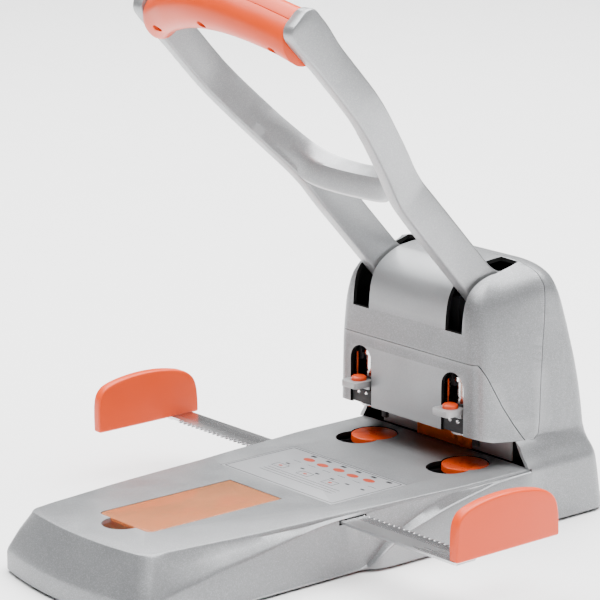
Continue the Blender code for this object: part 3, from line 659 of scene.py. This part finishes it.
def label():
    """The label plate with plain squares, dots, lines and frames, and no lettering."""
    half, front, back = LABEL
    plate = prism("label_panel", rounded(-half, front, half, back, 0.8), -0.5, 0.0)
    bevel(plate, 0.12, 2)
    show(plate, LOOKS["label"], "frame", ["label_plate"])

    high = (0.004, 0.05)
    rim = prism("label_rim", rounded(-half + 1.6, front + 1.6, half - 1.6, back - 1.6, 1.2), *high)
    cut(rim, prism("rim_hole", rounded(-half + 2.1, front + 2.1, half - 2.1, back - 2.1, 0.9),
                   -1, 1))
    marks = [rim]
    warm = []
    columns = steps(-26.0, 40.0, 5)
    for i, x in enumerate(columns):
        y = -66.0 if i % 2 == 0 else -67.0
        marks.append(prism("square_%d" % i, rounded(x - 2.1, -60.6, x + 2.1, -58.6, 0.3, 2), *high))
        marks.append(prism("bar_%d" % i, rounded(x - 1.6, -80.6, x + 1.6, -79.2, 0.3, 2), *high))
        marks.append(prism("tick_%d" % i, rounded(x - 3.4, -73.0, x + 3.4, -72.75, 0.1, 1), *high))
        if i < 5:
            warm.append(prism("dot_%d" % i, ellipse(x + 3.0, y, 4.4, 2.6), *high))
    for i, x in enumerate((-26.0, -4.0, 18.0)):
        frame_box = prism("sheet_%d" % i, rounded(x - 5, -88.5, x + 5, -82.4, 0.4, 2), *high)
        cut(frame_box, prism("sheet_hole_%d" % i, rounded(x - 4.7, -88.2, x + 4.7, -82.7, 0.3, 2),
                             -1, 1))
        marks.append(frame_box)
        warm.append(prism("hole_%d" % i, ellipse(x, -85.4, 1.5, 1.0, 20), *high))
    for y in (-92.0, -95.0, -98.0):
        marks.append(prism("rule_%d" % -y, rounded(-30, y, 34, y + 0.3, 0.1, 1), *high))
    show(merge("label_marks", marks), LOOKS["ink"], "frame")
    show(merge("label_dots", warm), LOOKS["orange_ink"], "frame")


# Side stops ------------------------------------------------------------------------------

def side_stops():
    """The two orange stops, each with the foot that holds its ruler."""
    profile = through([(-120.3, -3.7), (-120.6, 6.0), (-120.3, 14.0), (-119.0, 19.2),
                       (-115.7, 23.2), (-110.1, 25.6), (-100.0, 27.6), (-86.1, 28.6),
                       (-71.7, 27.9), (-58.2, 25.3), (-51.5, 22.2), (-47.1, 17.8),
                       (-45.0, 11.6), (-44.2, 4.0), (-44.0, -3.6)], 56)
    outline = [(point.x, point.y) for point in profile]
    for side, sign in SIDES:
        low, high = sorted((sign * STOP_X, sign * (STOP_X + STOP_T)))
        stop = prism("stop_shield_" + side, outline, low, high, "X")
        bevel(stop, 1.5, 4, 50)
        show(stop, LOOKS["orange"], "stop_" + side, ["side_stop_" + side], 40)
        y = RULER_Y[side]
        foot = box("stop_foot_" + side, (sign * 158 - 2, y - 7, -5.6),
                   (sign * 158 + 2, y + 7, -4.6))
        bevel(foot, 0.3, 2)
        show(foot, LOOKS["steel"], "stop_" + side)
    racks()


def racks():
    """The toothed rulers, one the other turned half round about the pinion."""
    outer = STOP_X + STOP_T - 2.0
    inner = 3.6
    root = PINION_R + 1.2
    tip = PINION_R - 0.9
    first = math.ceil(-148 / RACK_PITCH)
    teeth = []
    for i in range(37):
        middle = (first + i + 0.5) * RACK_PITCH
        teeth += [(middle - 1.2, root), (middle - 0.6, tip + 0.2), (middle - 0.3, tip),
                  (middle + 0.3, tip), (middle + 0.6, tip + 0.2), (middle + 1.2, root)]
    line = [(-outer, PINION_Y + root)] + [(x, PINION_Y + y) for x, y in teeth]
    line += [(inner, PINION_Y + root), (inner, -49.6), (inner - 0.4, -49.2), (-outer, -49.2)]
    low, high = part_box("ruler_left")
    z = (low[2] / MM - DECK_Z, high[2] / MM - DECK_Z)
    left = prism("rack_left", line, *z)
    right = prism("rack_right", [(-x, 2 * PINION_Y - y) for x, y in line], *z)
    for side, rack in (("left", left), ("right", right)):
        show(rack, LOOKS["ruler"], "stop_" + side, ["ruler_" + side], 20)


# Hood ------------------------------------------------------------------------------------

# Tables along z: the hood's front and back in y, its side in x and how far the front is narrower
FRONT_LINE = ((-35.0, -11.0), (81.0, -11.0), (88.0, -10.6), (93.5, -9.9), (99.0, -8.6),
              (102.5, -7.0), (105.0, -5.4), (108.3, -2.0), (111.0, 2.0), (113.0, 6.0),
              (114.6, 10.0), (115.7, 14.0), (116.5, 18.5), (117.2, 24.0), (117.8, 31.0))
BACK_LINE = ((-35.0, 86.0), (-21.0, 83.2), (-11.0, 81.5), (3.0, 78.6), (16.0, 76.6),
             (29.0, 74.9), (53.5, 69.7), (75.5, 63.2), (90.0, 58.6), (100.0, 55.0),
             (108.3, 51.6), (113.0, 48.2), (115.7, 44.9), (117.2, 41.4), (117.8, 37.0))
SIDE_LINE = ((-35.0, 75.0), (-2.0, 75.0), (2.0, 73.6), (7.0, 70.0), (12.0, 67.8), (18.0, 66.8),
             (60.0, 66.3), (94.0, 65.7), (100.0, 65.2), (104.0, 64.3), (108.3, 62.4),
             (111.0, 60.2), (113.0, 57.8), (114.6, 55.2), (115.7, 52.6), (116.5, 50.0),
             (117.2, 46.5), (117.8, 41.0))
TAPER = ((20.0, 4.0), (57.0, 4.4), (69.0, 5.2), (85.0, 7.0), (96.5, 9.0), (105.0, 10.5),
         (117.8, 11.5))


def hood_ring(level, inset=0.0, z=None):
    """The hood's outline at a level, drawn in by inset and put at z instead if that is given."""
    front = eased(FRONT_LINE, level) + inset
    back = eased(BACK_LINE, level) - inset
    wide = eased(SIDE_LINE, level) - inset
    narrow = wide - eased(TAPER, level) if level > 14 else wide - 0.4
    big = min(12.0, 0.45 * (back - front))
    small = min(9.5, 0.45 * (back - front))
    half = arc(wide - big, back - big, big, 90, 0, 8)
    front_arc = arc(narrow - small, front + small, small, 0, -90, 10)
    half += [(wide + (narrow - wide) * t, back - big + (front + small - back + big) * t)
             for t in (0.25, 0.5, 0.75)]
    half += front_arc
    points = half + [(-x, y) for x, y in reversed(half)]
    return [place(x, y, level if z is None else z) for x, y in points]


def hood_part(name, region):
    """The part of the hollow hood that lies in a region of the (y, z) plane."""
    levels = [-35, -34.4] + steps(-33, 15, 16) + steps(17, 93, 19) + steps(94.5, 112, 14)
    levels += steps(112.6, 117.8, 13)
    levels = sorted(set(levels))
    skin = loft(name, [hood_ring(z, 0.5 if z == -35 else 0.0) for z in levels])
    skin.data.materials.append(LOOKS["silver"])
    rings = [hood_ring(-35, WALL, -37)]
    for level in (-12, 0, 7, 12, 20, 53, 75, 90, 99, 105, 108.3, 111, 113, 114.6, 116, 117.2):
        drop = 0.0 if level < 100 else WALL - 0.3
        rings.append(hood_ring(level, WALL if level < 100 else 1.5, level - drop))
    room = loft(name + "_room", rings)
    # The hood's inner faces get painted shade, near-black for the shade inside it
    room.data.materials.append(LOOKS["dark"])
    cut(skin, room)
    boolean(skin, prism(name + "_region", region, -95, 95, "X"), "INTERSECT")
    return skin


def hood():
    """Upper cover, lower cover and rear housing, parted by narrow seams."""
    g = SEAM_GAP
    seam = [(y + g, z + g) for y, z in SEAM]
    rear = [(y - g, z) for y, z in REAR_SEAM]
    # Each region is a side view: the cover's own seams, and a generous outline elsewhere
    upper_region = [(-20, 64.0 + g)] + seam + [(31.0, 14.6)] + rear
    upper_region += [(34.2, 116.0), (33.6, 130.0), (-20, 130.0)]
    upper = hood_part("upper_cover_skin", upper_region)
    lower_region = [(-20, 20.4), (-10.9, 20.4), (-5.0, 18.7), (0.0, 17.3), (12.0, 15.8),
                    (23.3, 14.6)]
    lower_region += [(y - g, z - g) for y, z in reversed(SEAM)] + [(-20, 64.0 - g)]
    lower = hood_part("lower_cover_skin", lower_region)
    rear_region = [(17.4, 15.0), (18.6, 0.3), (20.8, 0.3), (20.8, -40.0), (95, -40.0), (95, 130),
                   (34.0, 130.0), (34.6, 116.0)]
    rear_region += [(y + g, z) for y, z in reversed(REAR_SEAM)] + [(31.2, 14.2)]
    housing = hood_part("rear_housing_skin", rear_region)
    # The cut faces of the arm slots and the cartridge slots get painted shade
    for side, sign in SIDES:
        low, high = sorted((sign * ARM_SLOT[0], sign * ARM_SLOT[1]))
        slot = box("arm_slot_" + side, (low, -20, ARM_SLOT_FOOT), (high, 33.1, 130))
        cut(upper, slot, inside=LOOKS["dark"])
        arch = [(sign * HOLE_X - SLOT_HALF, 10.0)]
        arch += list(reversed(arc(sign * HOLE_X, SLOT_TOP - SLOT_HALF, SLOT_HALF, 0, 180, 20)))
        arch.append((sign * HOLE_X + SLOT_HALF, 10.0))
        cut(lower, prism("cartridge_slot_" + side, arch, -20, -4, "Y"), inside=LOOKS["dark"])
    for cover, node in ((upper, "upper_cover"), (lower, "lower_cover"), (housing, "rear_housing")):
        show(cover, None, "frame", [node], 28)


def throat():
    """The back of the paper throat with the clear gauge panel on its two rods."""
    back = box("back_panel", (-56, 21.8, 0.35), (56, 23.3, 20.6))
    bevel(back, 0.3, 2)
    for x in (-15, 15):
        cut(back, bar("rod_hole", place(x, 20, 12), place(x, 25, 12), 1.9, 20))
    show(back, LOOKS["plate"], "frame", ["back_plate"])
    gauge = box("gauge_panel", (-23.5, 19.8, 0.3), (23.5, 21.4, 20.4))
    bevel(gauge, 0.4, 3)
    for x in (-15, 15):
        join(gauge, bar("gauge_rod", place(x, 20.6, 12), place(x, 36, 12), 1.5, 20))
    show(gauge, LOOKS["amber"], "depth_gauge", ["depth_gauge"])


# Punch cartridges ------------------------------------------------------------------------

def cartridge(side, sign):
    """An exchangeable punch: holder, rivets, sleeve, pin, latch tab, button and flag."""
    x = sign * HOLE_X
    rider = "cartridge_" + side
    body = box("holder_" + side, (x - 8.9, -9.6, 20.8), (x + 8.9, 13.8, 26.4))
    join(body, box("holder_front", (x - 8.9, -9.6, 25), (x + 8.9, -6.9, 29.3)),
         box("holder_stop", (x - 6, 11.2, 7.0), (x - 2, 13.6, 22)))
    cut(body, post("holder_bore", x, 0, 18, 28, 7.6))
    bevel(body, 0.5, 3)
    show(body, LOOKS["black"], rider, ["cartridge_body_" + side])
    for i, (u, v) in enumerate(((-3.2, 27.4), (3.4, 27.4))):
        rivet = turned("holder_rivet_%s_%d" % (side, i + 1),
                       [(0, 0.55), (0.9, 0.4), (1.35, 0.0), (1.35, -0.5), (0, -0.5)],
                       place(x + u, -9.7, v), Vector((0, -1, 0)), 24)
        show(rivet, LOOKS["steel"], rider)
    sleeve = turned("guide_sleeve_" + side,
                    [(7.3, 26.2), (7.3, 20.4), (8.3, 20.4), (8.6, 20.1), (8.6, 19.2), (8.3, 18.9),
                     (5.9, 18.9), (5.6, 19.2), (5.6, 26.2)], place(x, 0, 0))
    show(sleeve, LOOKS["steel"], rider, ["punch_guide_" + side])
    pin = turned("pin_shaft_" + side,
                 [(6.3, 53.2), (6.6, 52.9), (6.6, 50.3), (6.3, 50.0), (5.3, 50.0), (5.3, 41.0),
                  (4.8, 40.7), (4.8, 40.1), (5.3, 39.8), (5.3, 22.0), (3.9, 19.2), (3.4, 19.2),
                  (3.4, 30.0), (4.0, 31.0), (4.0, 52.9), (4.3, 53.2)], place(x, 0, 0))
    show(pin, LOOKS["steel"], "pin_" + side, ["punch_pin_" + side])
    outline = [(x - 7.2, -7.2), (x - 7.2, -18.2)]
    outline += arc(x - 4.2, -18.4, 3.0, 180, 250, 5) + arc(x + 4.2, -18.4, 3.0, 290, 360, 5)
    outline += [(x + 7.2, -7.2)]
    tab = prism("latch_lever_" + side, outline, 32.2, 35.9)
    cut(tab, post("button_well", x, -12.6, 33.8, 38, 4.95, 40))
    join(tab, box("latch_leg", (x - 6, -9.5, 29.6), (x + 6, -7.4, 33)))
    bevel(tab, 0.55, 3)
    show(tab, LOOKS["plate"], rider, ["latch_tab_" + side])
    button = turned("latch_button_" + side,
                    [(0, 38.6), (2.6, 38.5), (3.8, 38.2), (4.5, 37.6), (4.65, 36.9), (4.65, 35.6),
                     (0, 35.6)], place(x, -12.6, 0), sides=40)
    show(button, LOOKS["orange"], "button_" + side, ["release_button_" + side])
    flag = box("latch_flag_" + side, (x - 8.7, -6.7, 26.0), (x - 8.2, -5.7, 50.5))
    bevel(flag, 0.15, 2)
    show(flag, LOOKS["disc"], rider)


# Lever -----------------------------------------------------------------------------------

# Tables along s: an arm's middle in x, its front edge and its back edge in n
SPREAD = ((-40.0, 40.0), (80.0, 40.0), (89.0, 41.6), (97.0, 44.0), (105.0, 47.0), (112.0, 49.7),
          (121.0, 52.8), (134.0, 57.0), (145.0, 60.4), (157.0, 63.4), (168.0, 64.9),
          (180.0, 65.2), (240.0, 65.2))
ARM_FRONT = ((-30.0, -14.2), (-6.0, 0.0), (60.0, 0.0), (105.0, -1.4), (200.0, -1.4),
             (224.0, -0.4), (229.0, -0.6))
ARM_BACK = ((-13.0, -30.0), (-4.0, -24.4), (6.0, -22.2), (60.0, -22.0), (105.0, -21.6),
            (200.0, -21.4), (221.0, -23.2), (229.0, -23.2))
ARM_TOP = 235.0
ARM_ROUND = 6.5
GRIP_END = 60.6
SCREW_X = (-49.6, 0.0, 49.6)
SCREW_N = -1.6                  # where the screws' heads sit, in front of the arms' front
PIVOT_BORE = 5.3
DRIVE_BORE = 2.9


def arm_depth(s):
    """The front and back edges of an arm."""
    front = linear(ARM_FRONT, s) if s < 0 else eased(ARM_FRONT, s)
    back = eased(ARM_BACK, s)
    if s < BOSS[0] + 2:
        reach = math.sqrt(max(BOSS_R ** 2 - (s - BOSS[0]) ** 2, 0.3))
        front = min(front, BOSS[1] + reach) if s < -30 else front
        back = BOSS[1] - reach
    over = s - (ARM_TOP - ARM_ROUND)
    if over > 0:
        trim = ARM_ROUND - math.sqrt(max(ARM_ROUND ** 2 - over ** 2, 0.0))
        front -= trim
        back += trim
    return front, back


def arm_thickness(s):
    return eased(((60.0, 5.0), (170.0, 4.1), (240.0, 4.1)), s)


def arm(side, sign):
    """One arm of the lever, bent outwards and thinned towards the grip."""
    stations = [-35.6, -35, -34, -32, -30, -27, -24, -21.7, -18, -13, -9, -6, -2, 2, 6]
    stations += steps(12, 78, 11) + steps(80, 180, 34) + steps(185, 225, 8)
    stations += [ARM_TOP - ARM_ROUND + ARM_ROUND * math.sin(math.radians(turn))
                 for turn in steps(0, 82, 9)]
    rings = []
    for s in stations:
        middle = eased(SPREAD, s)
        lean = (eased(SPREAD, s + 1) - eased(SPREAD, s - 1)) / 2
        thick = arm_thickness(s) * math.sqrt(1 + lean ** 2)
        front, back = arm_depth(s)
        edge = min(1.5, 0.4 * (front - back))
        ring = []
        corners = ((thick, front, 90, 0), (thick, back, 0, -90), (-thick, back, -90, -180),
                   (-thick, front, 180, 90))
        for u, v, first, last in corners:
            cu = u - math.copysign(edge, u)
            cv = v - edge if v == front else v + edge
            ring += [on_lever(sign * (middle + a), s, b) for a, b in
                     arc(cu, cv, edge, first, last, 3)]
        rings.append(ring)
    return loft("lever_arm_" + side, rings)


def web():
    """The bridge between the arms, running up their inner faces as a fading ridge."""
    low = [(0.0, 84.0), (14.0, 84.4), (25.0, 85.4), (32.5, 87.6), (37.6, 91.6), (40.8, 97.8),
           (43.6, 105.0), (47.4, 115.0), (50.9, 125.0), (54.0, 135.0), (56.8, 145.0),
           (58.6, 152.0)]
    crest = [(0.0, 92.2), (14.0, 92.6), (25.0, 93.8), (32.0, 96.0), (36.8, 100.0), (40.2, 105.6),
             (43.2, 111.6), (46.6, 119.0), (50.0, 127.5), (53.6, 137.0), (56.8, 146.0),
             (58.9, 153.0)]
    back = [(0.0, 88.2), (13.0, 89.0), (23.0, 91.0), (30.0, 94.0), (35.2, 98.6), (39.2, 104.4),
            (42.6, 110.8), (46.6, 118.8), (50.6, 127.5), (54.2, 137.0), (57.2, 146.0),
            (59.2, 153.0)]
    count = 44
    lines = []
    for line, n in ((low, -1.5), (crest, -11.0), (back, -20.9)):
        right = through([(x, s, 0) for x, s in line], count)
        lines.append([(point.x, point.y, n) for point in right])
    rings = []
    for i in list(range(-count, 0)) + list(range(count + 1)):
        k = abs(i)
        sign = -1 if i < 0 else 1
        f, c, b = (Vector(line[k]) for line in lines)
        before = Vector(lines[1][max(k - 1, 0)])
        after = Vector(lines[1][min(k + 1, count)])
        along = (after - before).normalized()
        out = Vector((along.y, -along.x, 0))
        skin = []
        for t in steps(0, 1, 5):
            skin.append(f.lerp(c, t) + out * (1 - (2 * t - 1) ** 2) * -0.5 * min(1, 20 / (k + 1)))
        for t in steps(0, 1, 5)[1:]:
            skin.append(c.lerp(b, t) + out * (1 - (2 * t - 1) ** 2) * -0.5 * min(1, 20 / (k + 1)))
        deep = 2.6 + 2.2 * min(1.0, k / count * 2)
        under = [point + out * deep for point in reversed(skin)]
        under[-1] = f + out * 2.2
        ring = skin + under
        rings.append([on_lever(sign * point.x, point.y, point.z) for point in ring])
    return loft("lever_web", rings)


def grip_middle(x):
    return 236.8 - 18.0 * (x / 61.0) ** 2


def grip_section(x, front):
    """Half of the grip's section with its channel; its end swells a little."""
    middle = grip_middle(x)
    sign = 1 if front else -1
    base = -11.5 + sign * 0.12
    swell = 0.6 * max(0.0, (abs(x) - 50.0) / 10.7)
    reach = (14.6 if front else 13.2) + swell
    points = []
    for turn in steps(0, 180, 20):
        t = math.radians(turn)
        s = middle + (13.3 + swell) * math.cos(t)
        n = base + sign * reach * math.sin(t) ** 0.78
        points.append((s, n))
    points += [(middle - 8.4, base), (middle - 8.4, base + sign * 5.3),
               (middle + 8.4, base + sign * 5.3), (middle + 8.4, base)]
    return [on_lever(x, s, n) for s, n in points]


def lever():
    """The cast frame of the lever, the two grip shells and their screws."""
    frame_piece = arm("right", 1)
    join(frame_piece, arm("left", -1), web())
    crossbar = []
    for x in steps(-62.5, 62.5, 24):
        middle = grip_middle(max(-61.0, min(61.0, x)))
        crossbar.append([on_lever(x, s, n) for s, n in
                         ((middle - 7.6, -6.4), (middle + 7.6, -6.4), (middle + 7.6, -15.8),
                          (middle - 7.6, -15.8))])
    join(frame_piece, loft("lever_crossbar", crossbar))
    cut(frame_piece, bar("pivot_bore", place(-70, *PIVOT), place(70, *PIVOT), PIVOT_BORE))
    low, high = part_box("drive_shaft")
    drive = Vector((0, (low[1] + high[1]) / 2, (low[2] + high[2]) / 2))
    across = Vector((0.07, 0, 0))
    cut(frame_piece, bar("drive_bore", drive - across, drive + across, DRIVE_BORE, 32))
    show(frame_piece, LOOKS["silver_lever"], "lever", ["lever"], 40)

    shells = {}
    for name in ("front", "back"):
        shells[name] = loft("grip_shell_" + name, [grip_section(x, name == "front")
                                                   for x in steps(-GRIP_END, GRIP_END, 40)])
    for i, x in enumerate(SCREW_X):
        s = grip_middle(x) - 1.5
        spot = on_lever(x, s, SCREW_N)
        screw_hole = turned("screw_well_%d" % i, [(0, 8), (2.9, 8), (2.9, -9), (0, -9)],
                            on_lever(x, s, -1.0), (on_lever(x, s, 1) - on_lever(x, s, 0)), 32)
        cut(shells["front"], screw_hole)
        axis = (on_lever(x, s, 1) - on_lever(x, s, 0)).normalized()
        screw = turned("grip_screw_head_%d" % (i + 1),
                       [(0, 0.35), (1.3, 0.25), (2.2, -0.1), (2.6, -0.7), (2.6, -3.6),
                        (1.4, -3.6), (1.4, -6.5), (0, -6.5)], spot, axis, 32)
        cut(screw, turned("screw_drive_%d" % i, [(0, 1.5), (1.1, 1.5), (1.1, -1.2), (0, -1.2)],
                          spot, axis, 6))
        show(screw, LOOKS["steel"], "lever", ["grip_screw_%d" % (i + 1)])
    for name in ("front", "back"):
        bevel(shells[name], 0.35, 2, 60)
        show(shells[name], LOOKS["orange"], "lever", ["grip_" + name], 50)


# Carried-over nodes ----------------------------------------------------------------------

def dress_frame():
    """Give each node that is shown as it is a finished surface."""
    by_slot = {"black_plastic": "black", "foot_rubber": "rubber", "dark_steel": "phosphate",
               "bright_steel": "steel", "spring_steel": "spring", "bush_brass": "brass",
               "silver_plastic": "silver", "orange_plastic": "orange", "orange_disc": "disc",
               "orange_clear": "clear", "label_film": "label", "ruler_steel": "ruler",
               "cast_aluminium": "plate"}
    for part in frame["record"]["subparts"]:
        node = frame["nodes"][part["node"]]
        for slot in node.material_slots:
            slot.material = LOOKS[by_slot[part["material_slot"]]]
    for slot in frame["nodes"]["spare_disc_tray"].material_slots:
        slot.material = LOOKS["plate"]


# Stage -----------------------------------------------------------------------------------



def stage():
    build = bmesh.new()
    bmesh.ops.create_grid(build, x_segments=4, y_segments=4, size=6.0)
    floor = from_bmesh("floor", build)
    floor.location.z = -0.0002
    floor.data.materials.append(look("floor_white", (0.93, 0.93, 0.93), rough=0.7, grain=3.0,
                                     bump=0.02, tone=0.005, rough_by=0.03))
    # The world is brightest low behind the machine, which gives the deck its sheen
    world = bpy.data.worlds.new("studio")
    world.use_nodes = True
    tree = world.node_tree
    towards = tree.nodes.new("ShaderNodeTexCoord")
    behind = tree.nodes.new("ShaderNodeVectorMath")
    behind.operation = "DOT_PRODUCT"
    behind.inputs[1].default_value = Vector((-0.72, 0.61, 0.33)).normalized()
    level = tree.nodes.new("ShaderNodeMapRange")
    level.interpolation_type = "SMOOTHSTEP"
    level.inputs["From Min"].default_value = 0.45
    level.inputs["From Max"].default_value = 0.95
    level.inputs["To Min"].default_value = 0.75
    level.inputs["To Max"].default_value = 3.2
    tree.links.new(towards.outputs["Generated"], behind.inputs[0])
    tree.links.new(behind.outputs["Value"], level.inputs["Value"])
    tree.links.new(level.outputs["Result"], tree.nodes["Background"].inputs["Strength"])
    bpy.context.scene.world = world

    def lamp(name, spot, target, size, power):
        data = bpy.data.lights.new(name, "AREA")
        data.shape = "RECTANGLE"
        data.size, data.size_y = size
        data.energy = power
        thing = bpy.data.objects.new(name, data)
        thing.location = spot
        aim = Vector(target) - Vector(spot)
        thing.rotation_euler = aim.to_track_quat("-Z", "Y").to_euler()
        bpy.context.scene.collection.objects.link(thing)

    lamp("key", (-0.2, 0.4, 2.5), (-0.1, 0.2, 0), (4.0, 4.0), 500)
    lamp("side", (0.8, 0.5, 1.0), (0, 0.1, 0.28), (0.5, 0.5), 4)


# Camera: focal length, height and turn that the object's straight edges call for
LENS = 180.0
VIEW_TURN = 49.807
VIEW_HEIGHT = 14.052
VIEW_SHIFT = (-70.71, 87.70)
VIEW_REACH = 1782.9


def camera():
    turn = math.radians(VIEW_TURN)
    tilt = math.radians(VIEW_HEIGHT)
    right = Vector((math.cos(turn), math.sin(turn), 0))
    back = Vector((math.sin(turn) * math.cos(tilt), -math.cos(turn) * math.cos(tilt),
                   math.sin(tilt)))
    up = back.cross(right)
    spot = back * VIEW_REACH + right * VIEW_SHIFT[0] + up * VIEW_SHIFT[1]
    data = bpy.data.cameras.new("camera")
    data.lens = LENS
    data.sensor_width = 36.0
    data.clip_end = 50.0
    thing = bpy.data.objects.new("camera", data)
    thing.matrix_world = Matrix.Translation(place(*spot)) @ Matrix(
        (right, up, back)).transposed().to_4x4()
    bpy.context.scene.collection.objects.link(thing)
    bpy.context.scene.camera = thing


camera()
stage()
dress_frame()
base_shell()
deck_pieces()
label()
side_stops()
hood()
throat()
for side_name, side_sign in SIDES:
    cartridge(side_name, side_sign)
lever()
